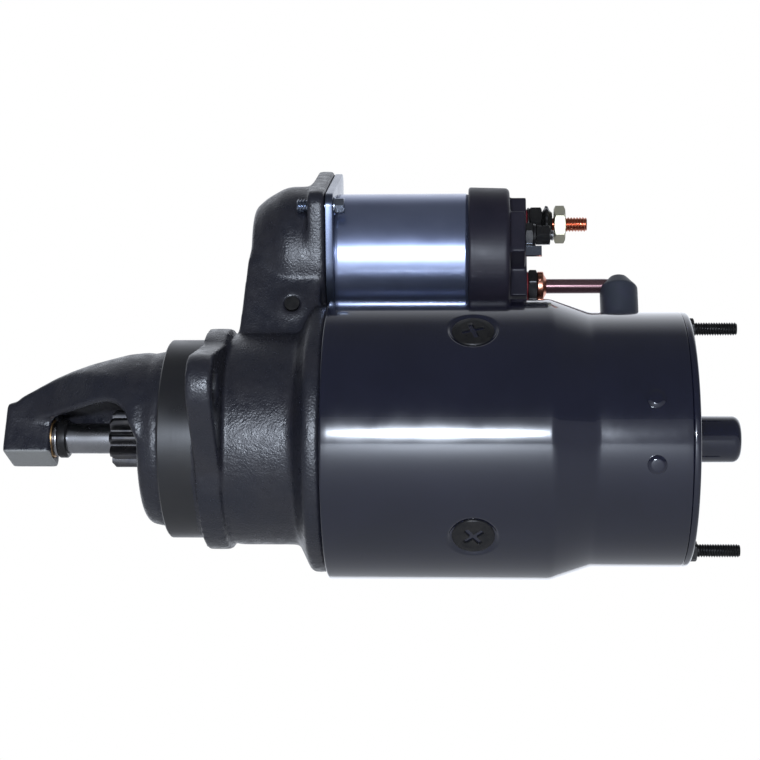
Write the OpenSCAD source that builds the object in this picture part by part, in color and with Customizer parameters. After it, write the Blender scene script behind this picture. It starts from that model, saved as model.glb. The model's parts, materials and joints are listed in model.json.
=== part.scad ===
// Direct-drive starter motor with a piggy-back solenoid.
// X runs along the shaft with the nose towards -X, +Z is the solenoid side.
// The origin is on the shaft axis at the mounting face of the flange.

/* [Mounting flange] */
// Diameter of the pilot that centres the starter
pilot_d = 82.55; // [76:0.05:100]
// Length of the pilot in front of the mounting face
pilot_len = 16; // [8:0.1:18]
// Thickness of the mounting flange
flange_t = 9.5; // [7:0.1:14]
// Distance between the two mounting holes
bolt_spacing = 120.65; // [116:0.05:150]
// Diameter of the mounting holes
bolt_hole_d = 13.5; // [8:0.1:16]
// Radius of the ears round the mounting holes
ear_r = 13; // [11:0.1:18]
// Angle of the near mounting hole above the horizontal
bolt_clock = -2; // [-20:1:30]

/* [Drive housing] */
// Diameter of the plain barrel in front of the pilot
barrel_d = 72.4; // [71:0.1:76]
// Length of that barrel
barrel_len = 9.8; // [8:0.1:16]
// Length of the open nose in front of the barrel
nose_len = 60.2; // [56:0.1:75]
// Length of the bearing lug at the tip of the nose
lug_len = 20.3; // [14:0.1:22]
// Width of the bearing lug
lug_w = 19; // [18:0.1:24]
// Depth of the bearing lug below the shaft axis
lug_drop = 9.5; // [9:0.1:13]
// Wall of the casting
cast_wall = 5; // [4:0.1:6]
// Diameter of the body behind the flange
body_d = 88; // [87:0.5:100]
// Length from the flange to the rear flange of the housing
body_len = 33.5; // [30:0.5:38]
// Step from the surface of the field frame down to the rear flange of the housing
rear_flange_step = 2.75; // [0.5:0.05:5]
// Thickness of the rear flange of the housing
rear_flange_t = 7; // [6:0.1:9]

/* [Field frame] */
// Outer diameter of the field frame
frame_d = 116; // [112:0.5:140]
// Length of the field frame
frame_len = 143.7; // [135:0.1:180]
// Wall of the field frame at its poles
frame_wall = 6.35; // [5:0.05:8]
// Outer diameter of the reduced rear end
rear_d = 104.7; // [102:0.1:110]
// Length of the reduced rear end
rear_len = 36.5; // [30:0.5:40]
// Length of the taper between the two diameters
taper_len = 16.6; // [12:0.1:20]
// Wall of the reduced rear end
rear_wall = 3; // [2.5:0.1:3.6]
// Angle that turns poles, bolts and brushes about the shaft
field_clock = -18; // [-30:1:0]
// Head diameter of the pole screws
pole_screw_d = 17.3; // [14:0.1:20]

/* [End frame and bolts] */
// Thickness of the end plate
end_plate_t = 3; // [2:0.1:5]
// Diameter of the rear bearing boss
boss_d = 19.2; // [18.4:0.1:24]
// Length of the rear bearing boss behind the plate
boss_len = 22; // [18:0.5:30]
// Diameter of the through bolts
through_d = 5.5; // [4.5:0.1:6.5]
// Radius at which the through bolts stand
through_r = 45.7; // [45:0.1:46]
// Length of the through bolts behind the end plate
through_reach = 21.4; // [12:0.1:30]

/* [Armature] */
// Diameter of the armature core
core_d = 66.4; // [60:0.1:67]
// Space between the front of the frame and the core
core_front = 28.3; // [27:0.1:34]
// Space between the core and the rear of the frame
core_rear = 53.4; // [52:0.1:60]
// Diameter of the splined shaft under the drive
shaft_d = 15.9; // [14:0.1:16.5]
// Diameter of the two shaft journals
journal_d = 12.7; // [11:0.1:13]
// Diameter of the commutator
comm_d = 41; // [38:0.1:43]
// Length of the commutator
comm_len = 25; // [22:0.5:26]
// Outer diameter of the bearing bushings
bushing_d = 15.9; // [15.7:0.1:16.4]

/* [Drive] */
// Number of pinion teeth
pinion_teeth = 9; // [9:1:10]
// Module of the pinion
pinion_module = 2.117; // [2:0.001:2.2]
// Length of the pinion teeth
pinion_len = 19; // [15:0.5:19.5]
// Diameter of the overrunning clutch
clutch_d = 49; // [44:0.5:52]
// Length of the overrunning clutch
clutch_len = 26; // [22:0.5:27]
// Outer diameter of the drive sleeve
sleeve_d = 21; // [20.5:0.1:24]
// Distance the drive moves into mesh
drive_travel = 18.5; // [16:0.1:18.8]
// Diameter of the shift collar
collar_d = 38; // [34:0.5:39]
// Wire diameter of the mesh spring
mesh_wire = 2.6; // [2:0.1:3.2]

/* [Shift lever] */
// Distance of the lever pivot behind the mounting face
pivot_x = 33.7; // [32:0.1:35]
// Height of the lever pivot above the shaft
pivot_z = 52; // [50:0.5:56]
// Diameter of the pivot pin
pivot_d = 6.3; // [5:0.1:7]
// Thickness of the lever legs
leg_t = 4; // [3:0.1:5]
// Diameter of the fork pads
pad_d = 7; // [5:0.1:7.2]

/* [Solenoid] */
// Height of the solenoid axis above the top of the field frame
sol_rise = 27.5; // [27.5:0.1:42]
// Diameter of the solenoid case
case_d = 53.8; // [50:0.1:54]
// Length of the solenoid case
case_len = 56.6; // [54:0.1:70]
// Diameter of the phenolic cap
cap_d = 59; // [56:0.1:64]
// Length of the phenolic cap
cap_len = 17.7; // [16:0.1:24]
// Thickness of the solenoid mounting plate
sol_plate_t = 3.4; // [2.5:0.1:5]
// Diameter of the plunger
plunger_d = 24; // [20:0.1:24]
// Distance between the two heavy terminals
terminal_pitch = 30; // [26:0.1:32]
// Diameter of the heavy terminal studs
stud_d = 6.35; // [6:0.01:8.5]
// Height of the raised blocks on the cap
block_h = 7.3; // [5:0.1:10]
// Length of the battery stud behind the blocks
battery_reach = 26.5; // [24:0.1:40]
// Width of the battery nuts across their flats
nut_af = 14.3; // [12.7:0.1:14.3]

/* [Field lead] */
// Diameter of the copper lead
lead_d = 6.3; // [5:0.1:7]
// Distance of the lead's entry from the rear of the frame
lead_back = 22.2; // [20:0.1:26]
// Outer diameter of the rubber boot
boot_d = 16.4; // [14:0.1:20]

/* [Clearances] */
// Radial gap of shafts that turn in bushings
run_gap = 0.05; // [0.02:0.01:0.1]
// Gap of seats that are pressed or bolted together
seat_gap = 0.02; // [0.01:0.01:0.05]
// Gap between parts that move past each other
free_gap = 0.3; // [0.25:0.05:0.5]

/* [Hidden] */
$fn = 64;

// stations along the shaft
pilot_x = -pilot_len;
barrel_x = pilot_x - barrel_len;
nose_x = barrel_x - nose_len;
lug_x = nose_x + lug_len;
frame_x = flange_t + body_len + rear_flange_t;
rear_x = frame_x + frame_len;
plate_x = rear_x + end_plate_t;
boss_x = plate_x + boss_len;
core_x = frame_x + core_front;
core_end = rear_x - core_rear;
pole_mid = (core_x + core_end) / 2;
coil_over = 10;
winding_front = core_x - 15;
comm_x = rear_x - 14 - comm_len;
winding_rear = comm_x - 1.5;
taper_x = rear_x - rear_len - taper_len;

// field frame and poles
frame_in = frame_d / 2 - frame_wall;
rear_flange_d = frame_d - 2 * rear_flange_step;
sol_z = frame_d / 2 + sol_rise;
rear_in = rear_d / 2 - rear_wall;
pole_in = core_d / 2 + 0.8;
shoe_t = 4;
shoe_half = 32;
pole_w = 28;
coil_in = pole_in + shoe_t;
coil_out = rear_in - free_gap;
coil_half = 36;
screw_seat = 4.2;
screw_shank_r = 5;
// the slack of curved seats against the frame's wall
wall_gap = 0.1;

// height of the faced pads behind the two ears
ear_pad = 0.7;

// nose
nose_r = barrel_d / 2;
cavity_r = nose_r - cast_wall;
nose_hole = 4.4;
hood_edge = 5.2;

// drive at rest
pinion_r = pinion_module * (pinion_teeth + 2) / 2 + 0.5;
pinion_root = max(pinion_module * pinion_teeth / 2 - 1.9, journal_d / 2 + 1.2);
stop_r = journal_d / 2 + 1.85;
thrust_r = journal_d / 2 + 1.25;
groove_w = pad_d + 0.5;
collar_rim = 2.6;
half_swing = drive_travel / 2 / pivot_z;
rest_angle = -half_swing * 180 / PI;
groove_x = pivot_x + pivot_z * sin(-rest_angle);
collar_x = groove_x - groove_w / 2 - collar_rim;
collar_end = groove_x + groove_w / 2 + collar_rim;
clutch_end = collar_x - 29.9;
clutch_x = clutch_end - clutch_len;
neck_len = 3;
pinion_end = clutch_x - neck_len;
pinion_x = pinion_end - pinion_len;
spline_x = clutch_x + 7;
sleeve_end = collar_end + 1.5;
stop_end = pinion_x - drive_travel - free_gap;
stop_len = 4.2;

// lever and plunger
upper_arm = sol_z - pivot_z;
stroke = 2 * half_swing * upper_arm;
lever_end_r = 3.8;
eye_x = pivot_x - upper_arm * sin(-rest_angle);
eye_r = 5.5;
leg_gap = 0.5;
leg_y = collar_d / 2 + leg_gap;
hub_r = 6.5;
hub_half = 7;
slot_half = hub_half + 1.5;

// solenoid along X
sol_face = frame_x - 2.8;
case_x = sol_face + sol_plate_t;
case_end = case_x + case_len;
cap_end = case_end + cap_len;
block_x = cap_end + block_h;
well_r = 16.6;
well_end = sol_face + 12.5;
lip_x = pivot_x + 1.5;
lip_t = 1.8;
plunger_end = case_x + 29.1;
core_face = plunger_end + stroke + 1.1;
core_back = core_face + 8.5;
case_wall = 1.7;
bobbin_r = plunger_d / 2 + 1.6;
rod_r = 2.5;
rod_x = core_face - 3.7;
disc_x = core_back + 4.2;
disc_t = 2.5;
disc_r = 16;
contact_move = 2.75;
head_x = disc_x + disc_t + contact_move + 0.25;
head_t = 3.5;
chamber_r = case_d / 2 - 3.4;
chamber_end = head_x + head_t;
lip_r = well_r - 1.1;
spring_r = 14.4;
battery_z = sol_z + terminal_pitch / 2;
motor_z = sol_z - terminal_pitch / 2;
battery_end = block_x + battery_reach;
seal_t = 0.6;
nut_x = block_x + seal_t;
base_nut_t = 6.3;
washer_x = nut_x + base_nut_t;
washer_t = 4.5;
jam_x = washer_x + washer_t + 0.8;
jam_nut_t = 4.9;
jam_end = jam_x + jam_nut_t;
shank_r = stud_d / 2 - 0.37;
boot_over = 1.1;
motor_nut_t = 3.9;
lug_at = nut_x + motor_nut_t;
lug_t = 2.9;
lead_bend = 6;
lead_low = rear_in - 5.6;
lead_x = rear_x - lead_back;
switch_y = -18.3;
switch_r = 2.4;
switch_nut_x = block_x - 0.8;
relay_z = sol_z - 7.5;
relay_half = 2.3;
relay_t = 1.1;
post_half = 9;
post_over = 8.6;
ear_hole_r = 3.1;
ear_at = case_d / 2 + 5.6;
ear_side = 77;
ear_top = -12;
lobe_at = ear_at + 9;
screw_flange_r = 4;
screw_af = 6.4;

// brush gear
pin_r = rear_in - 6.2;
brush_pin_d = 4;
brush_x = comm_x + 4;
brush_len = 15;
brush_w = 8;
brush_h = 11;
support_x = rear_x - 20;

module along_x(x0, x1, r) {
    translate([x0, 0, 0]) rotate([0, 90, 0]) cylinder(h = x1 - x0, r = r);
}
module tube_x(x0, x1, outer, inner) {
    difference() {
        along_x(x0, x1, outer);
        along_x(x0 - 1, x1 + 1, inner);
    }
}
// a body of revolution about X, from [x, radius] points
module turned_x(points) {
    rotate([0, 90, 0]) rotate_extrude() polygon([for (p = points) [p[1], p[0]]]);
}
// a hexagonal prism along X
module hex_x(x0, x1, flats) {
    translate([x0, 0, 0]) rotate([0, 90, 0]) cylinder(h = x1 - x0, r = flats / sqrt(3), $fn = 6);
}
module hex_nut_x(x0, x1, flats, hole_r) {
    difference() {
        hex_x(x0, x1, flats);
        along_x(x0 - 1, x1 + 1, hole_r);
    }
}
// turns what lies on the -Y side about the shaft, towards +Z
module clocked(angle) {
    rotate([-angle, 0, 0]) children();
}
module at_solenoid() {
    translate([0, 0, sol_z]) children();
}
// a block between two planes of x, y and z
module block(low, high) {
    translate(low) cube(high - low);
}
// an outline in the X-Z plane, as thick as 2 * half in Y
module side_plate(points, half) {
    translate([0, half, 0]) rotate([90, 0, 0]) linear_extrude(2 * half) polygon(points);
}
// an outline across X, given as [y, z] points
module cross_plate(x0, x1, points) {
    translate([x0, 0, 0]) rotate([90, 0, 90]) linear_extrude(x1 - x0) polygon(points);
}
// the corner that a band stretched round circles of [y, z, radius] has in one direction
function band_corner(circles, a) =
    let (reach = [for (c = circles) c[0] * cos(a) + c[1] * sin(a) + c[2]],
        c = circles[search(max(reach), reach)[0]]) [c[0] + c[2] * cos(a), c[1] + c[2] * sin(a)];
// a plate across X with the outline of that band
module rounded_plate(x0, x1, circles) {
    cross_plate(x0, x1, [for (a = [0 : 5 : 355]) band_corner(circles, a)]);
}
// a stack of rings that stands for a helical spring along X
module coil_spring(x0, x1, mean_r, wire, turns) {
    step = (x1 - x0 - wire) / (turns - 1);
    for (i = [0 : turns - 1])
        translate([x0 + wire / 2 + i * step, 0, 0]) rotate([0, 90, 0])
            rotate_extrude() translate([mean_r, 0]) circle(d = wire, $fn = 24);
    block([x0 + wire / 2, -wire / 4, mean_r - wire / 4], [x1 - wire / 2, wire / 4, mean_r + wire / 4]);
}

// ---- drive housing ----
module housing_skin() {
    turned_x([[barrel_x, 0], [barrel_x, nose_r - 3.6], [barrel_x + 0.8, nose_r - 1.9],
        [barrel_x + 2.4, nose_r - 0.7], [pilot_x - 2, nose_r + 0.5],
        [pilot_x - 2, nose_r - 0.4], [pilot_x, nose_r - 0.4],
        [pilot_x, pilot_d / 2 - 0.8], [pilot_x + 0.8, pilot_d / 2], [0, pilot_d / 2],
        [0, body_d / 2 + 2], [flange_t, body_d / 2 + 2], [flange_t, body_d / 2 - 1.4],
        [flange_t + 3, body_d / 2], [flange_t + body_len - 5, body_d / 2],
        [flange_t + body_len, rear_flange_d / 2 - 0.8],
        [flange_t + body_len + 1, rear_flange_d / 2],
        [frame_x, rear_flange_d / 2], [frame_x, 0]]);
}
module flange_ears() {
    for (side = [0, 180]) clocked(bolt_clock + side)
        rounded_plate(0, flange_t + ear_pad, [[0, 0, body_d / 2 - 2], [-bolt_spacing / 2, 0, ear_r]]);
}
// the hood: an ogive of revolution trimmed to the width of the nose
module nose_hood(shrink) {
    r = nose_r - shrink;
    tip = nose_x + shrink;
    intersection() {
        turned_x([[tip, 0], [tip, 9.5 - shrink / 2], [tip + 1.4, 13 - shrink],
            [tip + 5.8, 17.4 - shrink], [tip + 12, 20.8 - shrink], [tip + 20.5, 25.2 - shrink],
            [tip + 28, 28.4 - shrink], [tip + 36, 31.2 - shrink], [tip + 44, 33.3 - shrink],
            [tip + 52, r - 0.9], [barrel_x + 1, r], [barrel_x + 1, 0]]);
        linear_extrude(200, center = true) polygon([for (s = [1, -1])
            for (i = [0 : 6]) let (k = s > 0 ? i : 6 - i,
                x = [nose_x + shrink, nose_x + 11, lug_x, lug_x + 10, lug_x + 20,
                    lug_x + 29, barrel_x + 2][k],
                w = [lug_w / 2, lug_w / 2 + 0.4, lug_w / 2 + 4, lug_w / 2 + 11, nose_r - 8.4,
                    nose_r - 4, nose_r + 1][k]) [x, s * (w - shrink * 0.9)]]);
    }
}
// everything below the edge of the hood, with a rounded rear corner
module nose_window() {
    corner = 13;
    cx = barrel_x - 16.1;
    side_plate(concat([[nose_x - 5, hood_edge - 40], [nose_x - 5, hood_edge - 1]],
        [for (a = [90 : -16 : 10]) [cx + corner * cos(a), hood_edge - corner + corner * sin(a)]],
        [[barrel_x - 0.8, -10.5], [barrel_x + 2, -15], [barrel_x + 2, -60], [nose_x - 5, -60]]), 60);
}
module nose_lug() {
    intersection() {
        block([nose_x, -lug_w / 2, -lug_drop], [lug_x, lug_w / 2, 14]);
        along_x(nose_x - 1, lug_x + 1, 15.2);
    }
}
module tower_skin() {
    at_solenoid() turned_x([[pivot_x - 19, 0], [pivot_x - 19, 18.5], [pivot_x - 18.2, 21.5],
        [pivot_x - 13.4, 25.5], [pivot_x - 6.4, 29.4], [pivot_x - 3, 30.3],
        [sol_face - 4, 30.3], [sol_face - 4, 0]]);
    intersection() {
        side_plate([[pivot_x - 22.5, 30], [pivot_x - 19, sol_z],
            [sol_face - 2, sol_z], [sol_face - 2, 30]], 30);
        cross_plate(0, sol_face, [[-21.5, 30], [-21.5, sol_z - 12], [-14, sol_z - 1], [14, sol_z - 1],
            [21.5, sol_z - 12], [21.5, 30]]);
    }
    intersection() {
        at_solenoid() solenoid_outline(sol_face - 7.5, sol_face, 1.2);
        block([0, -70, 40], [sol_face, 70, sol_z + 60]);
    }
    for (s = [1, -1]) translate([pivot_x, 0, pivot_z]) rotate([90 * s, 0, 0]) cylinder(h = 22.3, r = 6.2);
}
// the plate outline that the housing and the solenoid share
module solenoid_outline(x0, x1, grow) {
    rounded_plate(x0, x1, concat([[0, 0, case_d / 2 + 2 + grow]],
        [for (a = [ear_side, ear_side + 180]) [-ear_at * sin(a), ear_at * cos(a), 5.6 + grow]],
        [[-lobe_at * sin(ear_top), lobe_at * cos(ear_top), 4.8 + grow]]));
}
module drive_housing() {
    color("dimgray") difference() {
        union() {
            housing_skin();
            flange_ears();
            difference() {
                nose_hood(0);
                nose_window();
            }
            nose_lug();
            difference() {
                tower_skin();
                along_x(-1, frame_x + 1, body_d / 2 - 12);
            }
        }
        difference() {
            nose_hood(cast_wall);
            block([nose_x - 1, -50, -50], [lug_x, 50, 50]);
        }
        turned_x([[barrel_x - 1, 0], [barrel_x - 1, cavity_r], [0, cavity_r + 0.6],
            [flange_t - 2, 31.4], [flange_t + 3, 38.2], [flange_t + body_len - 7, 38.2],
            [flange_t + body_len, frame_in - 5], [frame_x + 1, frame_in - 5], [frame_x + 1, 0]]);
        along_x(nose_x + nose_hole, lug_x + 1, bushing_d / 2 + seat_gap);
        along_x(lug_x - 0.4, lug_x + 0.1, bushing_d / 2 + 1);
        for (side = [0, 180]) clocked(bolt_clock + side)
            translate([0, -bolt_spacing / 2, 0]) along_x(-1, flange_t + 2, bolt_hole_d / 2);
        at_solenoid() turned_x([[pivot_x - 15.5, 0], [pivot_x - 15.5, 14], [pivot_x - 10, 21],
            [pivot_x - 4, 24.5], [sol_face + 1, 24.5], [sol_face + 1, 0]]);
        block([pivot_x - 15, -slot_half, 25], [sol_face - 3, slot_half, sol_z]);
        translate([pivot_x, 0, pivot_z]) rotate([90, 0, 0])
            cylinder(h = 80, r = pivot_d / 2 + seat_gap, center = true);
        at_solenoid() for (a = [ear_side, ear_side + 180]) rotate([a, 0, 0])
            translate([0, 0, ear_at]) along_x(sol_face - 12, sol_face + 1, ear_hole_r + seat_gap);
        for (side = [90, -90]) clocked(field_clock + side)
            translate([0, -through_r, 0])
                along_x(frame_x - rear_flange_t + 1, frame_x + 1, through_d / 2 + seat_gap);
    }
}
module nose_bushing() {
    color("darkgoldenrod")
        tube_x(nose_x + nose_hole, lug_x - 0.5, bushing_d / 2, journal_d / 2 + run_gap);
}
module lever_pivot_pin() {
    color("silver") translate([pivot_x, 22.6, pivot_z]) rotate([90, 0, 0]) difference() {
        translate([0, 0, -1.8]) cylinder(h = 47, r = pivot_d / 2);
        translate([0, 0, -0.9]) rotate_extrude() translate([pivot_d / 2 - 0.4, 0]) square([2, 0.8]);
    }
}
module pivot_pin_ring() {
    color("gray") translate([pivot_x, 23.45, pivot_z]) rotate([90, 0, 0]) difference() {
        cylinder(h = 0.7, r = pivot_d / 2 + 1.6);
        translate([0, 0, -1]) cylinder(h = 3, r = pivot_d / 2 - 0.38);
        translate([-1.5, -8, -1]) cube([3, 8, 3]);
    }
}

// ---- field frame ----
module field_frame() {
    color("black") difference() {
        turned_x([[frame_x, 0], [frame_x, frame_d / 2 - 1], [frame_x + 1, frame_d / 2],
            [taper_x, frame_d / 2], [rear_x - rear_len, rear_d / 2],
            [rear_x, rear_d / 2], [rear_x, 0]]);
        turned_x([[frame_x - 1, 0], [frame_x - 1, frame_in], [taper_x, frame_in],
            [rear_x - rear_len - 2, rear_in], [rear_x + 1, rear_in], [rear_x + 1, 0]]);
        for (i = [0 : 3]) clocked(field_clock + 45 + 90 * i) translate([pole_mid, 0, 0]) rotate([90, 0, 0]) {
            cylinder(h = frame_d, r = 5.2);
            translate([0, 0, frame_d / 2 - screw_seat]) cylinder(h = 10, r = pole_screw_d / 2 + seat_gap);
        }
        for (side = [0, 180], s = [-14, 14]) clocked(field_clock + side + s)
            translate([support_x + 6, 0, 0]) rotate([90, 0, 0]) cylinder(h = rear_d, r = 2.4);
        translate([lead_x, 0, 0]) cylinder(h = frame_d, r = boot_d / 2 - 1.6);
    }
}
module arc_sector(x0, x1, inner, outer, half) {
    difference() {
        intersection() {
            along_x(x0, x1, outer);
            cross_plate(x0, x1, [[0, 0], [-90, -90 * tan(half)], [-90, 90 * tan(half)]]);
        }
        along_x(x0 - 1, x1 + 1, inner);
    }
}
module pole_shoes() {
    color("slategray") for (i = [0 : 3]) clocked(field_clock + 45 + 90 * i) difference() {
        union() {
            arc_sector(core_x, core_end, pole_in, coil_in - free_gap, shoe_half);
            intersection() {
                arc_sector(core_x, core_end, pole_in, frame_in - wall_gap, coil_half);
                block([core_x, -frame_in, -pole_w / 2], [core_end, 0, pole_w / 2]);
            }
        }
        translate([pole_mid, 0, 0]) rotate([90, 0, 0]) cylinder(h = frame_d, r = screw_shank_r + seat_gap);
    }
}
module field_coils() {
    color("saddlebrown") for (i = [0 : 3]) clocked(field_clock + 45 + 90 * i) difference() {
        arc_sector(core_x - coil_over, core_end + coil_over, coil_in, coil_out, coil_half);
        block([core_x - free_gap, -frame_in, -pole_w / 2 - free_gap],
            [core_end + free_gap, 0, pole_w / 2 + free_gap]);
    }
}
module pole_screws() {
    color("gray") for (i = [0 : 3]) clocked(field_clock + 45 + 90 * i)
        translate([pole_mid, 0, 0]) rotate([90, 0, 0]) difference() {
            union() {
                translate([0, 0, pole_in + 5])
                    cylinder(h = frame_d / 2 - screw_seat - pole_in - 4, r = screw_shank_r);
                translate([0, 0, frame_d / 2 - screw_seat]) cylinder(h = 3.4, r = pole_screw_d / 2);
            }
            for (turn = [0, 90]) rotate([0, 0, turn])
                translate([-5, -1.1, frame_d / 2 - 3.2]) cube([10, 2.2, 5]);
        }
}

// ---- brush gear ----
module brush_support() {
    color("tan") difference() {
        union() {
            difference() {
                arc_sector(support_x, support_x + 12, rear_in - 2.6, rear_in - wall_gap, 19);
                along_x(0, support_x - 1, 60);
            }
            intersection() {
                along_x(support_x + 9.5, support_x + 12, rear_in - wall_gap);
                block([support_x, -60, -9], [support_x + 20, -pin_r + 5, 9]);
            }
        }
        for (s = [-14, 14]) clocked(s) translate([support_x + 6, 0, 0])
            rotate([90, 0, 0]) cylinder(h = 60, r = 2);
        translate([0, -pin_r, 0]) along_x(0, rear_x, brush_pin_d / 2 + 0.01);
    }
    color("silver") translate([0, -pin_r, 0]) along_x(brush_x - 3, support_x + 12, brush_pin_d / 2);
}
module brush_support_1() {
    clocked(field_clock) brush_support();
}
module brush_support_2() {
    clocked(field_clock + 180) brush_support();
}
module brush_support_screws() {
    color("gray") for (side = [0, 180], s = [-14, 14]) clocked(field_clock + side + s)
        translate([support_x + 6, 0, 0]) rotate([90, 0, 0]) {
            translate([0, 0, rear_in - 2.4]) cylinder(h = 2.6 + rear_wall, r = 1.95);
            translate([0, 0, rear_d / 2 + 0.05]) cylinder(h = 1.5, r = 3.6);
        }
}
// one arm on the pin at angle 0, reaching to a brush at +45 degrees
module brush_arm(shift) {
    x0 = brush_x + 1.5 + shift;
    x1 = x0 + 2.4;
    top = comm_d / 2 + run_gap + brush_h;
    color("silver") {
        difference() {
            translate([0, -pin_r, 0]) along_x(x0, x1, 4.2);
            translate([0, -pin_r, 0]) along_x(x0 - 1, x1 + 1, brush_pin_d / 2 + run_gap);
        }
        difference() {
            cross_plate(x0, x1, [[-pin_r + 1.5, 1.5], [-pin_r - 3.4, 2.4],
                [-(top + 3.2) * cos(45) - 3, (top + 3.2) * sin(45) - 3],
                [-(top + 1.7) * cos(45) + 4, (top + 1.7) * sin(45) + 4],
                [-top * cos(45) + 3, top * sin(45) + 3]]);
            translate([0, -pin_r, 0]) along_x(x0 - 1, x1 + 1, 4);
            rotate([-45, 0, 0]) block([x0 - 1, -top - seat_gap, -9], [x1 + 1, 0, 9]);
        }
        clocked(45) block([brush_x, -top - 1.4, -brush_w / 2 - 1.4],
            [brush_x + brush_len, -top - seat_gap, brush_w / 2 + 1.4]);
    }
}
module brush() {
    top = comm_d / 2 + run_gap + brush_h;
    color("dimgray") clocked(45) difference() {
        block([brush_x, -top, -brush_w / 2], [brush_x + brush_len, 0, brush_w / 2]);
        along_x(brush_x - 1, brush_x + brush_len + 1, comm_d / 2 + run_gap);
    }
}
module brush_arm_1() {
    clocked(field_clock) brush_arm(0);
}
module brush_arm_2() {
    clocked(field_clock) mirror([0, 0, 1]) brush_arm(5);
}
module brush_arm_3() {
    clocked(field_clock + 180) brush_arm(0);
}
module brush_arm_4() {
    clocked(field_clock + 180) mirror([0, 0, 1]) brush_arm(5);
}
module brush_1() {
    clocked(field_clock) brush();
}
module brush_2() {
    clocked(field_clock) mirror([0, 0, 1]) brush();
}
module brush_3() {
    clocked(field_clock + 180) brush();
}
module brush_4() {
    clocked(field_clock + 180) mirror([0, 0, 1]) brush();
}

// ---- end frame ----
module end_frame() {
    color("black") difference() {
        union() {
            turned_x([[rear_x, 0], [rear_x, rear_d / 2], [plate_x - 1.4, rear_d / 2],
                [plate_x - 0.4, rear_d / 2 - 0.6], [plate_x, rear_d / 2 - 1.6], [plate_x, 0]]);
            turned_x([[plate_x - 0.5, 0], [plate_x - 0.5, boss_d / 2 + 1.2], [plate_x, boss_d / 2 + 1.2],
                [plate_x + 1.2, boss_d / 2], [boss_x - 3, boss_d / 2], [boss_x - 0.8, boss_d / 2 - 1.4],
                [boss_x, boss_d / 2 - 3.4], [boss_x, 0]]);
        }
        along_x(rear_x - 1, boss_x - 2.5, bushing_d / 2 + seat_gap);
        for (side = [90, -90]) clocked(field_clock + side)
            translate([0, -through_r, 0]) along_x(rear_x - 1, plate_x + 1, through_d / 2 + 0.4);
    }
}
module end_bushing() {
    color("darkgoldenrod")
        tube_x(rear_x + 0.5, boss_x - 2.5, bushing_d / 2, journal_d / 2 + run_gap);
}
module through_bolts() {
    color("dimgray") for (side = [90, -90]) clocked(field_clock + side) translate([0, -through_r, 0]) {
        along_x(frame_x - rear_flange_t + 1, plate_x + through_reach, through_d / 2);
        hex_x(plate_x, plate_x + 3.8, 8);
    }
}

// ---- solenoid ----
module solenoid_plate() {
    color("lightsteelblue") at_solenoid() {
        difference() {
            solenoid_outline(sol_face, case_x, 0);
            along_x(sol_face - 1, case_x + 1, well_r);
            for (a = [ear_side, ear_side + 180]) rotate([a, 0, 0])
                translate([0, 0, ear_at]) along_x(sol_face - 1, case_x + 1, ear_hole_r + 0.2);
            translate([0, 0, -sol_z]) along_x(frame_x - free_gap, case_x + 1, frame_d / 2 + free_gap);
        }
        tube_x(sol_face, well_end, well_r + 1.2, well_r);
    }
}
module solenoid_screws() {
    color("silver") at_solenoid() for (a = [ear_side, ear_side + 180]) rotate([a, 0, 0])
        translate([0, 0, ear_at]) {
            along_x(sol_face - 12, case_x, ear_hole_r);
            along_x(case_x, case_x + 0.8, screw_flange_r);
            hex_x(case_x + 0.8, case_x + 4.6, screw_af);
        }
}
module solenoid_case() {
    color("slategray") at_solenoid() tube_x(case_x, case_end, case_d / 2, case_d / 2 - case_wall);
}
module solenoid_bobbin() {
    color("ivory") at_solenoid() {
        tube_x(well_end, core_face - 0.4, bobbin_r, plunger_d / 2 + 0.1);
        tube_x(well_end, well_end + 1.6, case_d / 2 - case_wall - 0.2, plunger_d / 2 + 0.1);
        tube_x(core_face - 2, core_face - 0.4, case_d / 2 - case_wall - 0.2, plunger_d / 2 + 0.1);
    }
}
module solenoid_winding() {
    color("chocolate") at_solenoid()
        tube_x(well_end + 1.7, core_face - 2.1, case_d / 2 - case_wall - 0.8, bobbin_r + 0.05);
}
module solenoid_core() {
    color("gray") at_solenoid() difference() {
        union() {
            along_x(core_back - 4, core_back, case_d / 2 - case_wall - seat_gap);
            along_x(core_face, core_back, 15);
        }
        along_x(core_face - 1, core_back + 1, rod_r + run_gap);
    }
}
module solenoid_cap() {
    color("black") at_solenoid() difference() {
        union() {
            turned_x([[case_end, 0], [case_end, cap_d / 2 - 0.6], [case_end + 0.6, cap_d / 2],
                [cap_end - 1.2, cap_d / 2 - 0.5], [cap_end, cap_d / 2 - 1.7], [cap_end, 0]]);
            block([cap_end - 1, -post_half, -terminal_pitch / 2 - post_over],
                [block_x, post_half, terminal_pitch / 2 + post_over]);
            block([cap_end - 1, switch_y - 7, -11], [switch_nut_x, 1 - post_half, 8]);
        }
        along_x(case_end - 1, chamber_end + 1, chamber_r);
        translate([0, 0, terminal_pitch / 2]) along_x(chamber_end, block_x + 1, shank_r + seat_gap);
        translate([0, 0, -terminal_pitch / 2]) along_x(chamber_end, block_x + 1, stud_d / 2 + seat_gap);
        translate([0, switch_y, 0]) along_x(chamber_end, block_x + 1, switch_r + seat_gap);
        translate([0, 0, -sol_z]) relay_blade(chamber_end, block_x + 1, 2 * seat_gap);
        translate([0, 0, -sol_z]) along_x(case_end - 1, block_x + 1, frame_d / 2 + free_gap);
    }
}
module battery_stud() {
    color("peru") translate([0, 0, battery_z]) {
        along_x(head_x, head_x + head_t, 7);
        along_x(head_x, jam_end + 1, shank_r);
        along_x(jam_end, battery_end, stud_d / 2);
    }
}
module battery_nut() {
    color("dimgray") translate([0, 0, battery_z]) hex_nut_x(nut_x, washer_x, nut_af, shank_r + seat_gap);
}
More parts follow.
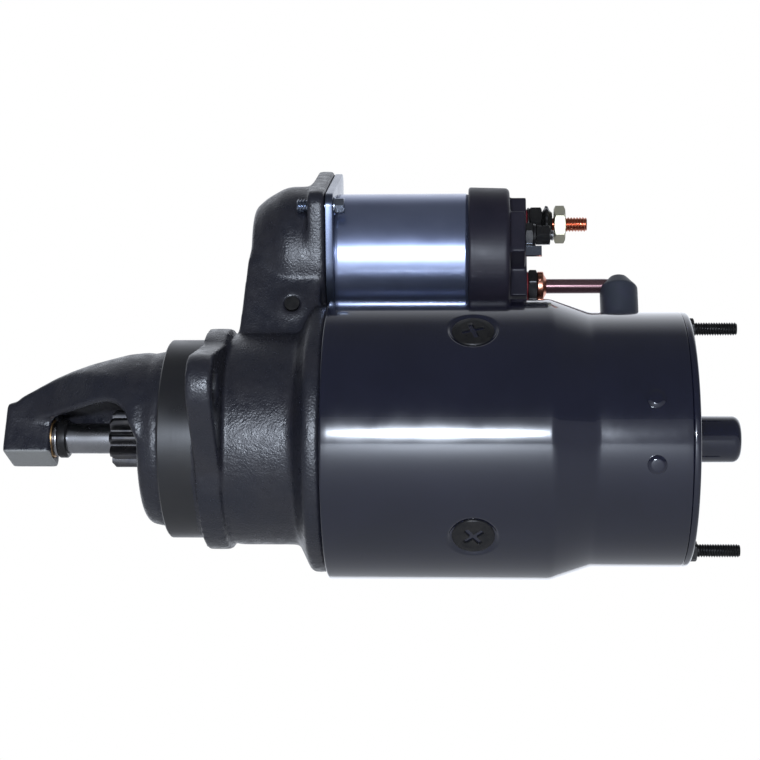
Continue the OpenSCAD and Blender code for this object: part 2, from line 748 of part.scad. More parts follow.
module battery_washer() {
    rim_r = nut_af / 2 + 1.05;
    color("gray") translate([0, 0, battery_z]) difference() {
        turned_x([[washer_x, 0], [washer_x, rim_r - 2.6], [washer_x + 1.5, rim_r], [washer_x + 2.5, rim_r],
            [washer_x + washer_t, rim_r - 3], [washer_x + washer_t, 0]]);
        along_x(block_x, jam_end, shank_r + seat_gap);
    }
}
module battery_jam_nut() {
    face_r = nut_af / 2 - 0.3;
    color("khaki") translate([0, 0, battery_z]) difference() {
        intersection() {
            rotate([30, 0, 0]) hex_x(jam_x, jam_end, nut_af);
            turned_x([[jam_x, 0], [jam_x, face_r], [jam_x + 0.9, face_r + 1.5],
                [jam_end - 0.9, face_r + 1.5], [jam_end, face_r], [jam_end, 0]]);
        }
        along_x(block_x, battery_end, shank_r + seat_gap);
    }
}
module motor_stud() {
    color("peru") translate([0, 0, motor_z]) {
        along_x(head_x, head_x + head_t, 7);
        along_x(head_x, lug_at + lug_t, stud_d / 2);
    }
}
module motor_nut() {
    color("dimgray") translate([0, 0, motor_z]) hex_nut_x(nut_x, lug_at, nut_af - 1.6, stud_d / 2 + seat_gap);
}
module switch_stud() {
    color("silver") translate([0, switch_y, sol_z]) along_x(chamber_end + 1, block_x + 11, switch_r);
}
module switch_nut() {
    color("gray") translate([0, switch_y, sol_z]) rotate([30, 0, 0]) {
        hex_nut_x(switch_nut_x, switch_nut_x + 3.2, 9.4, switch_r + seat_gap);
        tube_x(switch_nut_x + 3.3, switch_nut_x + 4.4, 5, switch_r + seat_gap);
        hex_nut_x(switch_nut_x + 4.5, switch_nut_x + 10.4, 8, switch_r + seat_gap);
    }
}
module relay_blade(x0, x1, grow) {
    block([x0, switch_y - relay_t / 2 - grow, relay_z - relay_half - grow],
        [x1, switch_y + relay_t / 2 + grow, relay_z + relay_half + grow]);
}
module relay_terminal() {
    color("gray") relay_blade(chamber_end + 1, block_x + 6, 0);
}

// ---- field lead ----
// the bent rod from the ring at the motor stud into the frame
module lead_rod(grow) {
    rod = lead_d / 2 + grow;
    translate([0, 0, motor_z]) along_x(lug_at + lug_t, lead_x - lead_bend, rod);
    translate([lead_x - lead_bend, 0, motor_z - lead_bend]) rotate([90, 0, 0])
        rotate_extrude(angle = 90) translate([lead_bend, 0]) circle(r = rod);
    translate([lead_x, 0, lead_low + lead_bend]) cylinder(h = motor_z - lead_low - 2 * lead_bend, r = rod);
    translate([lead_x - lead_bend, 0, lead_low + lead_bend]) rotate([90, 0, 0])
        rotate_extrude(angle = -90) translate([lead_bend, 0]) circle(r = rod);
}
module field_lead() {
    color("rosybrown") {
        translate([0, 0, motor_z]) difference() {
            along_x(lug_at, lug_at + lug_t, 6.4);
            along_x(lug_at - 1, lug_at + lug_t + 1, stud_d / 2 + seat_gap);
        }
        translate([0, 0, motor_z]) along_x(lug_at + lug_t, lug_at + lug_t + 1, 5.2);
        lead_rod(0);
        translate([0, 0, lead_low]) along_x(core_end + coil_over + 0.05, lead_x - lead_bend, lead_d / 2);
    }
}
module lead_boot() {
    top = motor_z + lead_d / 2 + boot_over;
    boot_r = boot_d / 2;
    neck = boot_r - 1.8;
    rear_r = rear_d / 2;
    color("darkslategray") difference() {
        translate([lead_x, 0, 0]) rotate_extrude() polygon([[0, rear_in - 1.4],
            [neck - wall_gap, rear_in - 1.4], [neck - wall_gap, rear_r + 0.4],
            [boot_r + 0.6, rear_r + 0.6], [boot_r + 0.5, rear_r + 2.2], [boot_r, rear_r + 3.5],
            [boot_r, top - 4.2], [boot_r - 1.4, top - 1.4], [boot_r - 3.6, top], [0, top]]);
        lead_rod(wall_gap);
    }
}

// ---- plunger and contacts ----
module plunger() {
    slot = lever_end_r + free_gap;
    color("silver") at_solenoid() difference() {
        union() {
            along_x(eye_x - 6.4, lip_x, eye_r);
            along_x(lip_x, lip_x + lip_t, lip_r);
            along_x(lip_x + lip_t, plunger_end, plunger_d / 2);
        }
        block([eye_x - slot, -2.4, -eye_r - 1], [eye_x + slot, 2.4, 4.8]);
    }
}
module return_spring() {
    color("silver") at_solenoid() coil_spring(lip_x + lip_t + 0.1, well_end - 0.1, spring_r, 1.8, 5);
}
module contact_rod() {
    color("silver") at_solenoid() difference() {
        along_x(rod_x, chamber_end - contact_move - 0.4, rod_r);
        translate([disc_x - 1, 0, 0]) rotate([0, 90, 0]) rotate_extrude()
            translate([rod_r - 0.4, 0]) square([2, 0.9]);
    }
}
module contact_disc() {
    color("peru") at_solenoid() tube_x(disc_x, disc_x + disc_t, disc_r, rod_r + run_gap);
}
module contact_spring() {
    color("silver") at_solenoid() coil_spring(disc_x + disc_t + 0.1, chamber_end + 0.9, 4.4, 1, 4);
}

// ---- shift lever ----
module shift_lever() {
    bridge_low = collar_d / 2 + 2.5;
    bridge_high = bridge_low + 5.5;
    color("gray") translate([pivot_x, 0, pivot_z]) rotate([0, rest_angle, 0]) difference() {
        union() {
            rotate([90, 0, 0]) cylinder(h = 2 * hub_half, r = hub_r, center = true);
            side_plate([[-4.5, 0], [-2.5, upper_arm - 6], [2.5, upper_arm - 6], [4.5, 0]], 2);
            side_plate([[-2.5, upper_arm - 7], [-2.5, upper_arm], [2.5, upper_arm], [2.5, upper_arm - 7]], 2);
            translate([0, 0, upper_arm]) rotate([90, 0, 0]) cylinder(h = 4, r = lever_end_r, center = true);
            side_plate([[-5, 0], [5, 0], [4, bridge_low - pivot_z],
                [-4, bridge_low - pivot_z]], hub_half - 1.5);
            block([-4, -leg_y - leg_t, bridge_low - pivot_z], [4, leg_y + leg_t, bridge_high - pivot_z]);
            for (s = [1, -1]) {
                block([-3.5, s > 0 ? leg_y : -leg_y - leg_t, -pivot_z],
                    [3.5, s > 0 ? leg_y + leg_t : -leg_y, bridge_high - pivot_z]);
                translate([0, s * (leg_y + leg_t), -pivot_z]) rotate([90 * s, 0, 0])
                    cylinder(h = leg_t, r = pad_d / 2 + 1.2);
                translate([0, s * (leg_y + 0.5), -pivot_z]) rotate([90 * s, 0, 0])
                    cylinder(h = 5.3, r = pad_d / 2);
            }
        }
        rotate([90, 0, 0]) cylinder(h = 60, r = pivot_d / 2 + run_gap, center = true);
    }
}

// ---- armature ----
module armature_shaft() {
    color("silver") {
        along_x(nose_x + nose_hole + 0.6, spline_x, journal_d / 2);
        along_x(spline_x, core_x, shaft_d / 2);
        along_x(core_x, comm_x + comm_len, shaft_d / 2 + 1);
        along_x(comm_x + comm_len, boss_x - 4, journal_d / 2);
    }
}
module armature_core() {
    slots = 24;
    color("slategray") difference() {
        tube_x(core_x, core_end, core_d / 2, shaft_d / 2 + 1 + seat_gap);
        for (i = [0 : slots - 1]) rotate([i * 360 / slots, 0, 0])
            block([core_x - 1, -1.1, core_d / 2 - 9], [core_end + 1, 1.1, core_d / 2 + 1]);
    }
}
module armature_windings() {
    color("chocolate") {
        difference() {
            turned_x([[winding_front, 0], [winding_front, 22], [winding_front + 6, 30],
                [core_x - 0.05, 31.4], [core_x - 0.05, 0]]);
            along_x(0, core_x, shaft_d / 2 + 0.2);
        }
        difference() {
            turned_x([[core_end + 0.05, 0], [core_end + 0.05, 31.4], [winding_rear - 5, 28],
                [winding_rear, 22], [winding_rear, 0]]);
            along_x(core_end - 1, winding_rear + 1, shaft_d / 2 + 1.2);
        }
    }
}
module commutator() {
    bars = 24;
    color("peru") difference() {
        union() {
            tube_x(comm_x, comm_x + comm_len, comm_d / 2, shaft_d / 2 + 1 + seat_gap);
            tube_x(winding_rear + 0.05, comm_x + 2, comm_d / 2 + 0.5, shaft_d / 2 + 1.2);
        }
        for (i = [0 : bars - 1]) rotate([i * 360 / bars, 0, 0])
            block([winding_rear, -0.4, comm_d / 2 - 0.8], [comm_x + comm_len + 1, 0.4, comm_d / 2 + 2]);
    }
}
module pinion_stop() {
    color("dimgray") tube_x(stop_end - stop_len, stop_end, stop_r, journal_d / 2 + seat_gap);
}
module thrust_collar() {
    color("gray") tube_x(lug_x + 0.15, stop_end - stop_len - 0.05, thrust_r, journal_d / 2 + seat_gap);
}

// ---- drive ----
module shift_collar() {
    color("gray") difference() {
        turned_x([[collar_x, 0], [collar_x, collar_d / 2], [groove_x - groove_w / 2, collar_d / 2],
            [groove_x - groove_w / 2, 13.5], [groove_x + groove_w / 2, 13.5],
            [groove_x + groove_w / 2, collar_d / 2], [collar_end, collar_d / 2], [collar_end, 0]]);
        along_x(collar_x - 1, collar_end + 1, sleeve_d / 2 + run_gap);
    }
}
module mesh_spring() {
    color("silver") coil_spring(clutch_end + 0.3, collar_x - 0.05, 13.2, mesh_wire, 6);
}
module clutch_shell() {
    color("silver") difference() {
        turned_x([[clutch_x, 0], [clutch_x, clutch_d / 2 - 3.5], [clutch_x + 2.5, clutch_d / 2 - 1],
            [clutch_x + 5, clutch_d / 2], [clutch_end - 2, clutch_d / 2],
            [clutch_end, clutch_d / 2 - 2], [clutch_end, 0]]);
        along_x(clutch_x - 1, clutch_x + 6.8, pinion_root + 0.3);
        along_x(clutch_x + 6, clutch_end + 1, sleeve_d / 2 + seat_gap);
    }
}
module clutch_sleeve() {
    color("lightgray") difference() {
        along_x(spline_x, sleeve_end, sleeve_d / 2);
        along_x(spline_x - 1, sleeve_end + 1, shaft_d / 2 + run_gap);
        translate([collar_end + 0.35, 0, 0]) rotate([0, 90, 0]) rotate_extrude()
            translate([sleeve_d / 2 - 0.6, 0]) square([3, 1.1]);
    }
}
module sleeve_ring() {
    color("gray") difference() {
        tube_x(collar_end + 0.4, collar_end + 1.4, sleeve_d / 2 + 1.6, sleeve_d / 2 - 0.55);
        block([collar_end, -1.5, 0], [collar_end + 3, 1.5, 30]);
    }
}
// tooth flanks as straight sides between root and tip
module pinion_outline() {
    pitch = 360 / pinion_teeth;
    polygon([for (i = [0 : pinion_teeth - 1]) for (p = [[-0.34, 0], [-0.25, 0.35], [-0.16, 0.75], [-0.09, 1],
            [0.09, 1], [0.16, 0.75], [0.25, 0.35], [0.34, 0]])
        let (r = pinion_root + p[1] * (pinion_r - pinion_root), a = (i + p[0]) * pitch)
            [r * cos(a), r * sin(a)]]);
}
module pinion_gear() {
    color("silver") difference() {
        union() {
            intersection() {
                translate([pinion_x, 0, 0]) rotate([0, 90, 0]) linear_extrude(pinion_len) pinion_outline();
                turned_x([[pinion_x, 0], [pinion_x, pinion_r - 1.8], [pinion_x + 1.8, pinion_r + 0.2],
                    [pinion_end, pinion_r + 0.2], [pinion_end, 0]]);
            }
            along_x(pinion_end - 1, clutch_x + 6.4, pinion_root);
        }
        along_x(pinion_x - 1, clutch_x + 8, journal_d / 2 + run_gap);
    }
}

drive_housing();
nose_bushing();
lever_pivot_pin();
pivot_pin_ring();
solenoid_screws();
field_frame();
pole_shoes();
field_coils();
pole_screws();
brush_support_1();
brush_support_2();
brush_support_screws();
end_frame();
end_bushing();
through_bolts();
solenoid_plate();
solenoid_case();
solenoid_bobbin();
solenoid_winding();
solenoid_core();
solenoid_cap();
battery_stud();
battery_nut();
battery_washer();
battery_jam_nut();
motor_stud();
motor_nut();
switch_stud();
switch_nut();
relay_terminal();
field_lead();
lead_boot();
plunger();
return_spring();
contact_rod();
contact_disc();
contact_spring();
shift_lever();
armature_shaft();
armature_core();
armature_windings();
commutator();
pinion_stop();
thrust_collar();
shift_collar();
mesh_spring();
clutch_shell();
clutch_sleeve();
sleeve_ring();
pinion_gear();
brush_arm_1();
brush_arm_2();
brush_arm_3();
brush_arm_4();
brush_1();
brush_2();
brush_3();
brush_4();
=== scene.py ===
"""Looks of the starter motor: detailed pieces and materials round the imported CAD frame.

X runs along the shaft (nose towards -X), +Z is the solenoid side. Lengths here are in millimetres
and are scaled to metres when a mesh is made.
"""
import json
import math

import bmesh
import bpy
import numpy as np
from mathutils import Matrix, Vector


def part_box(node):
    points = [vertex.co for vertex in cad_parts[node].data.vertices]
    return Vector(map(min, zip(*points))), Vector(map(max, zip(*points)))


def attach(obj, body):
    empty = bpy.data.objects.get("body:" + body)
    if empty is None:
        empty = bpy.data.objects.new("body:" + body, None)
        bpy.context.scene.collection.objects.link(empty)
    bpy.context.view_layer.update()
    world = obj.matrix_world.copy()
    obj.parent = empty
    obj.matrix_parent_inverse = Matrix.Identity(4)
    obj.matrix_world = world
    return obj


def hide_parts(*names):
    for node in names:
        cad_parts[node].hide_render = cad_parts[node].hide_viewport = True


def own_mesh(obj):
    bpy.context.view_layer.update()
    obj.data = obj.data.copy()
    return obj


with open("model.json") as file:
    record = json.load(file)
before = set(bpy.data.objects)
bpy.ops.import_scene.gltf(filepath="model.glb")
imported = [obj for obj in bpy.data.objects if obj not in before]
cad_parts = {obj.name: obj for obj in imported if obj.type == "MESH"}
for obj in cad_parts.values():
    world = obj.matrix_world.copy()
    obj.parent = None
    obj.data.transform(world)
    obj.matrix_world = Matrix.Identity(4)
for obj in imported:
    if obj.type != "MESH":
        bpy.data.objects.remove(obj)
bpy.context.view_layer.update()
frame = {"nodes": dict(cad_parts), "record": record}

MM = 0.001
CLOCK = -18.0  # turn of poles, bolts and brushes about the shaft, in degrees
PILOT_LENGTH = 16.0
REAR_LENGTH = 36.5  # reduced rear end of the field frame
TAPER_LENGTH = 16.6


def span(node):
    """(low, high) corners of a CAD node in millimetres."""
    low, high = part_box(node)
    return Vector(low) / MM, Vector(high) / MM


def middle(node):
    """Centre of a CAD node's box in millimetres, to a tenth."""
    low, high = span(node)
    return Vector([round((a + b) / 2, 1) for a, b in zip(low, high)])


BATTERY_Z, MOTOR_Z = middle("battery_stud").z, middle("motor_stud").z
SOLENOID_Z = (BATTERY_Z + MOTOR_Z) / 2
SWITCH_Y = middle("switch_stud").y


# ---------------------------------------------------------------- mesh helpers
def piece(name, verts, faces, body, material, replaces=(), slot=None, crease=35.0):
    """A mesh object from points in millimetres that rides on a CAD body."""
    mesh = bpy.data.meshes.new(name)
    mesh.from_pydata([tuple(np.asarray(v, float) * MM) for v in verts], [], faces)
    mesh.validate()
    work = bmesh.new()
    work.from_mesh(mesh)
    bmesh.ops.remove_doubles(work, verts=work.verts, dist=1e-7)
    bmesh.ops.recalc_face_normals(work, faces=work.faces)
    work.to_mesh(mesh)
    work.free()
    ob = bpy.data.objects.new(name, mesh)
    bpy.context.scene.collection.objects.link(ob)
    return dress(ob, body, material, replaces, crease)


def dress(ob, body, material, replaces=(), crease=35.0):
    """Gives a piece its shading, material, body and the nodes it stands for."""
    ob.data.materials.clear()
    ob.data.materials.append(material)
    ob.data.shade_smooth()
    ob.data.set_sharp_from_angle(angle=math.radians(crease))
    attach(ob, body)
    if replaces:
        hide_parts(*replaces)
    return ob


def merged(parts):
    """One (verts, faces) from several."""
    verts, faces = [], []
    for v, f in parts:
        base = len(verts)
        verts += list(v)
        faces += [tuple(base + i for i in face) for face in f]
    return verts, faces


def placed(part, shift=(0, 0, 0), turn_x=0.0):
    """A part turned about X and then shifted."""
    c, s = math.cos(math.radians(turn_x)), math.sin(math.radians(turn_x))
    verts = [(x + shift[0], y * c - z * s + shift[1], y * s + z * c + shift[2]) for x, y, z in part[0]]
    return verts, part[1]


def clocked(part, angle):
    """Turns what lies on the -Y side about the shaft, towards +Z."""
    return placed(part, turn_x=-angle)


def fillet(points, radius, steps=4):
    """Rounds the inner corners of an open outline. radius is a number or one number per point."""
    out = [points[0]]
    for i in range(1, len(points) - 1):
        r = radius[i] if hasattr(radius, "__len__") else radius
        p, a, b = (np.array(points[i + k], float) for k in (0, -1, 1))
        to_a, to_b = a - p, b - p
        la, lb = np.linalg.norm(to_a), np.linalg.norm(to_b)
        if r <= 0 or la < 1e-6 or lb < 1e-6:
            out.append(tuple(p))
            continue
        to_a, to_b = to_a / la, to_b / lb
        angle = math.acos(float(np.clip(np.dot(to_a, to_b), -1, 1)))
        if angle > math.pi - 0.02:
            out.append(tuple(p))
            continue
        cut = min(r / math.tan(angle / 2), 0.48 * la, 0.48 * lb)
        r_used = cut * math.tan(angle / 2)
        middle = p + (to_a + to_b) / np.linalg.norm(to_a + to_b) * r_used / math.sin(angle / 2)
        start, end = p + to_a * cut - middle, p + to_b * cut - middle
        for k in range(steps + 1):
            mix = start * (1 - k / steps) + end * (k / steps)
            out.append(tuple(middle + mix / np.linalg.norm(mix) * r_used))
    out.append(points[-1])
    return out


def lathe(profile, segments=96, centre=(0.0, 0.0)):
    """A body of revolution about an axis along X through (y, z) = centre, from (x, radius) points."""
    verts, rings = [], []
    for x, r in profile:
        if r < 1e-6:
            rings.append([len(verts)])
            verts.append((x, centre[0], centre[1]))
            continue
        rings.append(list(range(len(verts), len(verts) + segments)))
        for k in range(segments):
            a = 2 * math.pi * k / segments
            verts.append((x, centre[0] + r * math.cos(a), centre[1] + r * math.sin(a)))
    faces = []
    for a, b in zip(rings, rings[1:]):
        for k in range(segments):
            n = (k + 1) % segments
            quad = [a[k % len(a)], a[n % len(a)], b[n % len(b)], b[k % len(b)]]
            face = tuple(dict.fromkeys(quad))
            if len(face) > 2:
                faces.append(face)
    return verts, faces


def ring_profile(outline):
    """Closes a lathe outline that doesn't touch the axis into a ring."""
    return list(outline) + [outline[0]]


def wavy_lathe(rows, radius, segments=64, centre=(0.0, 0.0)):
    """Like lathe, with radius(row, angle) free to vary. rows are x values; both ends are capped."""
    verts, faces = [], []
    for x in rows:
        for k in range(segments):
            a = 2 * math.pi * k / segments
            r = radius(x, a)
            verts.append((x, centre[0] + r * math.cos(a), centre[1] + r * math.sin(a)))
    for i in range(len(rows) - 1):
        for k in range(segments):
            n = (k + 1) % segments
            faces.append((i * segments + k, i * segments + n, (i + 1) * segments + n, (i + 1) * segments + k))
    faces.append(tuple(reversed(range(segments))))
    last = (len(rows) - 1) * segments
    faces.append(tuple(range(last, last + segments)))
    return verts, faces


def threaded_rod(x0, x1, r, pitch, plain_to=None, centre=(0.0, 0.0), chamfer=0.9, segments=48, depth=None):
    """A stud with a real helical thread from plain_to to x1, and a chamfered end at x1."""
    plain_to = x0 if plain_to is None else plain_to
    depth = 0.54 * pitch if depth is None else depth
    count = max(2, int((x1 - plain_to) / pitch * 8))
    rows = ([x0] if plain_to > x0 else []) + list(np.linspace(plain_to, x1, count))

    def radius(x, a):
        phase = ((x - plain_to) / pitch - a / (2 * math.pi)) % 1.0
        ridge = min(1.0, max(0.0, 1.25 - abs(phase - 0.5) * 2.9))
        fade = min(1.0, max(0.0, (x - plain_to) / (1.2 * pitch))) if plain_to > x0 else 1.0
        thread = r - depth * (1 - ridge) * fade
        return min(thread, r - depth * 0.9 + (x1 - x) / chamfer * depth) if x > x1 - chamfer else thread

    return wavy_lathe(rows, radius, segments, centre)


def hex_nut(x0, x1, flats, hole, centre=(0.0, 0.0), turn=0.0, chamfer=(True, True), segments=96, washer=0.0):
    """A hexagon nut or head along X with turned chamfers. hole 0 closes it; washer adds a face at x0."""
    chamfer_r = flats / 2 * 0.97  # radius of the flat face inside the chamfer
    washer_r = flats / 2 * 0.93
    turn = math.radians(turn)
    slope = math.tan(math.radians(28))

    def hexagon(a):
        w = (a - turn) % (math.pi / 3) - math.pi / 6
        return flats / 2 / math.cos(w)

    def ring(points):
        return [(x, centre[0] + r * math.cos(a), centre[1] + r * math.sin(a)) for x, r, a in points]

    angles = [2 * math.pi * k / segments for k in range(segments)]
    x_low = x0 + washer
    rings = []
    if hole > 0:
        rings.append([(x0, hole, a) for a in angles])
    if washer:
        rings.append([(x0, washer_r, a) for a in angles])
        rings.append([(x_low, washer_r, a) for a in angles])
    else:
        rings.append([(x_low, chamfer_r if chamfer[0] else hexagon(a), a) for a in angles])
    low = [(hexagon(a) - chamfer_r) * slope if chamfer[0] else 0.0 for a in angles]
    high = [(hexagon(a) - chamfer_r) * slope if chamfer[1] else 0.0 for a in angles]
    rings.append([(x_low + d, hexagon(a), a) for d, a in zip(low, angles)])
    rings.append([(x1 - d, hexagon(a), a) for d, a in zip(high, angles)])
    rings.append([(x1, chamfer_r if chamfer[1] else hexagon(a), a) for a in angles])
    if hole > 0:
        rings.append([(x1, hole + 0.35, a) for a in angles])
        rings.append([(x1 - 0.35, hole, a) for a in angles])
    verts = [p for points in rings for p in ring(points)]
    faces = []
    count = len(rings)
    for i in range(count if hole > 0 else count - 1):
        j = (i + 1) % count
        for k in range(segments):
            n = (k + 1) % segments
            faces.append((i * segments + k, i * segments + n, j * segments + n, j * segments + k))
    if hole <= 0:
        faces.append(tuple(reversed(range(segments))))
        faces.append(tuple(range((count - 1) * segments, count * segments)))
    return verts, faces


def tube_along(path, radius, sides=24, caps=True):
    """A round tube along points in millimetres."""
    path = [Vector(p) for p in path]
    verts, faces = [], []
    tangent = (path[1] - path[0]).normalized()
    side = tangent.orthogonal().normalized()
    for i, p in enumerate(path):
        ahead = path[min(i + 1, len(path) - 1)] - path[max(i - 1, 0)]
        turn = tangent.rotation_difference(ahead.normalized())
        tangent = ahead.normalized()
        side = (turn @ side).normalized()
        up = tangent.cross(side)
        r = radius(i) if callable(radius) else radius
        for k in range(sides):
            a = 2 * math.pi * k / sides
            verts.append(tuple(p + side * (r * math.cos(a)) + up * (r * math.sin(a))))
    for i in range(len(path) - 1):
        for k in range(sides):
            n = (k + 1) % sides
            faces.append((i * sides + k, i * sides + n, (i + 1) * sides + n, (i + 1) * sides + k))
    if caps:
        faces.append(tuple(reversed(range(sides))))
        last = (len(path) - 1) * sides
        faces.append(tuple(range(last, last + sides)))
    return verts, faces


def helix(x0, x1, mean_r, wire, turns, centre=(0.0, 0.0), sides=12):
    """A compression spring along X with closed ends."""
    steps = int(turns * 32)
    path = []
    for i in range(steps + 1):
        t = i / steps
        flat = 1.0 / turns
        lift = 0.0 if t < flat else (1.0 if t > 1 - flat else (t - flat) / (1 - 2 * flat))
        start = x0 + wire / 2 + min(t, flat) / flat * wire * 0.9
        reach = (x1 - wire / 2 - wire * 0.9) - (x0 + wire / 2 + wire * 0.9)
        x = start + lift * reach + (max(t - (1 - flat), 0) / flat) * wire * 0.9
        a = 2 * math.pi * turns * t
        path.append((x, centre[0] + mean_r * math.cos(a), centre[1] + mean_r * math.sin(a)))
    return tube_along(path, wire / 2, sides)


def block(low, high):
    """An axis-aligned box as (verts, faces)."""
    (x0, y0, z0), (x1, y1, z1) = low, high
    verts = [(x, y, z) for x in (x0, x1) for y in (y0, y1) for z in (z0, z1)]
    faces = [(0, 1, 3, 2), (4, 6, 7, 5), (0, 4, 5, 1), (2, 3, 7, 6), (0, 2, 6, 4), (1, 5, 7, 3)]
    return verts, faces


def raw_object(part, name="raw"):
    """A bare mesh object to be fused, cut with or thrown away."""
    mesh = bpy.data.meshes.new(name)
    mesh.from_pydata([tuple(np.asarray(v, float) * MM) for v in part[0]], [], part[1])
    work = bmesh.new()
    work.from_mesh(mesh)
    bmesh.ops.recalc_face_normals(work, faces=work.faces)
    work.to_mesh(mesh)
    work.free()
    ob = bpy.data.objects.new(name, mesh)
    bpy.context.scene.collection.objects.link(ob)
    return ob


def evaluated(ob, name):
    """The object's mesh with its modifiers applied; the object itself is removed."""
    graph = bpy.context.evaluated_depsgraph_get()
    mesh = bpy.data.meshes.new_from_object(ob.evaluated_get(graph))
    bpy.data.objects.remove(ob, do_unlink=True)
    made = bpy.data.objects.new(name, mesh)
    bpy.context.scene.collection.objects.link(made)
    return made


def relax(mesh, rounds, weight=None, factor=0.5):
    """Laplacian smoothing, with an optional weight per vertex."""
    count = len(mesh.vertices)
    co = np.empty(count * 3)
    mesh.vertices.foreach_get("co", co)
    co = co.reshape(-1, 3)
    edges = np.empty(len(mesh.edges) * 2, int)
    mesh.edges.foreach_get("vertices", edges)
    a, b = edges.reshape(-1, 2).T
    degree = np.bincount(a, minlength=count) + np.bincount(b, minlength=count)
    degree = np.maximum(degree, 1)
    pull = np.full(count, factor) if weight is None else weight(co / MM) * factor
    for _ in range(rounds):
        total = np.zeros_like(co)
        for axis in range(3):
            total[:, axis] = np.bincount(a, co[b, axis], count) + np.bincount(b, co[a, axis], count)
        co += (total / degree[:, None] - co) * pull[:, None]
    mesh.vertices.foreach_set("co", co.ravel())
    mesh.update()


def fused(name, objects, voxel, rounds, weight=None, keep=1.0):
    """Joins closed objects into one skin with soft inner and outer corners."""
    base = objects[0]
    if len(objects) > 1:
        with bpy.context.temp_override(active_object=base, selected_editable_objects=objects, object=base):
            bpy.ops.object.join()
    remesh = base.modifiers.new("fuse", "REMESH")
    remesh.mode = "VOXEL"
    remesh.voxel_size = voxel * MM
    ob = evaluated(base, name)
    relax(ob.data, rounds, weight)
    if keep < 1.0:
        thin = ob.modifiers.new("thin", "DECIMATE")
        thin.ratio = keep
        ob = evaluated(ob, name)
    return ob


def cut(ob, cutters, name):
    """The object with the cutters' volumes taken out."""
    for i, cutter in enumerate(cutters):
        step = ob.modifiers.new(f"cut{i}", "BOOLEAN")
        step.operation = "DIFFERENCE"
        step.solver = "EXACT"
        step.object = cutter
    made = evaluated(ob, name)
    for cutter in cutters:
        bpy.data.objects.remove(cutter, do_unlink=True)
    return made


def bevelled(ob, width, segments=2, angle=30.0):
    """Rounds an object's sharp edges with a bevel."""
    step = ob.modifiers.new("bevel", "BEVEL")
    step.width = width * MM
    step.segments = segments
    step.limit_method = "ANGLE"
    step.angle_limit = math.radians(angle)
    step.harden_normals = False
    return ob


# ---------------------------------------------------------------- materials
def material(name, base, roughness, metallic=0.0, coat=0.0, coat_roughness=0.05, specular=0.5,
             grain=(), tint=None, tint_scale=40.0, wear=None, rough_var=0.0, rough_scale=60.0):
    """A Principled material. grain is a list of (scale per metre, bump strength, distance in mm)."""
    mat = bpy.data.materials.new(name)
    mat.use_nodes = True
    nodes, links = mat.node_tree.nodes, mat.node_tree.links
    shader = nodes["Principled BSDF"]
    shader.inputs["Base Color"].default_value = (*base, 1)
    shader.inputs["Roughness"].default_value = roughness
    shader.inputs["Metallic"].default_value = metallic
    shader.inputs["Specular IOR Level"].default_value = specular
    shader.inputs["Coat Weight"].default_value = coat
    shader.inputs["Coat Roughness"].default_value = coat_roughness
    place = nodes.new("ShaderNodeTexCoord").outputs["Object"]
    if tint is not None:
        cloud = nodes.new("ShaderNodeTexNoise")
        cloud.inputs["Scale"].default_value = tint_scale
        cloud.inputs["Detail"].default_value = 6
        cloud.inputs["Roughness"].default_value = 0.6
        links.new(place, cloud.inputs["Vector"])
        ramp = nodes.new("ShaderNodeValToRGB")
        ramp.color_ramp.elements[0].position = 0.35
        ramp.color_ramp.elements[1].position = 0.7
        ramp.color_ramp.elements[0].color = (*base, 1)
        ramp.color_ramp.elements[1].color = (*tint, 1)
        links.new(cloud.outputs["Fac"], ramp.inputs["Fac"])
        colour = ramp.outputs["Color"]
        if wear is not None:
            edge = nodes.new("ShaderNodeNewGeometry").outputs["Pointiness"]
            band = nodes.new("ShaderNodeMapRange")
            band.inputs["From Min"].default_value = 0.52
            band.inputs["From Max"].default_value = 0.6
            links.new(edge, band.inputs["Value"])
            mix = nodes.new("ShaderNodeMix")
            mix.data_type = "RGBA"
            mix.inputs["B"].default_value = (*wear, 1)
            links.new(band.outputs["Result"], mix.inputs["Factor"])
            links.new(colour, mix.inputs["A"])
            colour = mix.outputs["Result"]
        links.new(colour, shader.inputs["Base Color"])
    if rough_var:
        patch = nodes.new("ShaderNodeTexNoise")
        patch.inputs["Scale"].default_value = rough_scale
        patch.inputs["Detail"].default_value = 5
        links.new(place, patch.inputs["Vector"])
        band = nodes.new("ShaderNodeMapRange")
        band.inputs["From Min"].default_value = 0.3
        band.inputs["From Max"].default_value = 0.7
        band.inputs["To Min"].default_value = max(0.02, roughness - rough_var)
        band.inputs["To Max"].default_value = roughness + rough_var
        links.new(patch.outputs["Fac"], band.inputs["Value"])
        links.new(band.outputs["Result"], shader.inputs["Roughness"])
    normal = None
    for scale, strength, distance in grain:
        noise = nodes.new("ShaderNodeTexNoise")
        noise.inputs["Scale"].default_value = scale
        noise.inputs["Detail"].default_value = 3
        noise.inputs["Roughness"].default_value = 0.55
        links.new(place, noise.inputs["Vector"])
        bump = nodes.new("ShaderNodeBump")
        bump.inputs["Strength"].default_value = strength
        bump.inputs["Distance"].default_value = distance * MM
        links.new(noise.outputs["Fac"], bump.inputs["Height"])
        if normal is not None:
            links.new(normal, bump.inputs["Normal"])
        normal = bump.outputs["Normal"]
    if normal is not None:
        links.new(normal, shader.inputs["Normal"])
        if coat:
            links.new(normal, shader.inputs["Coat Normal"])
    return mat


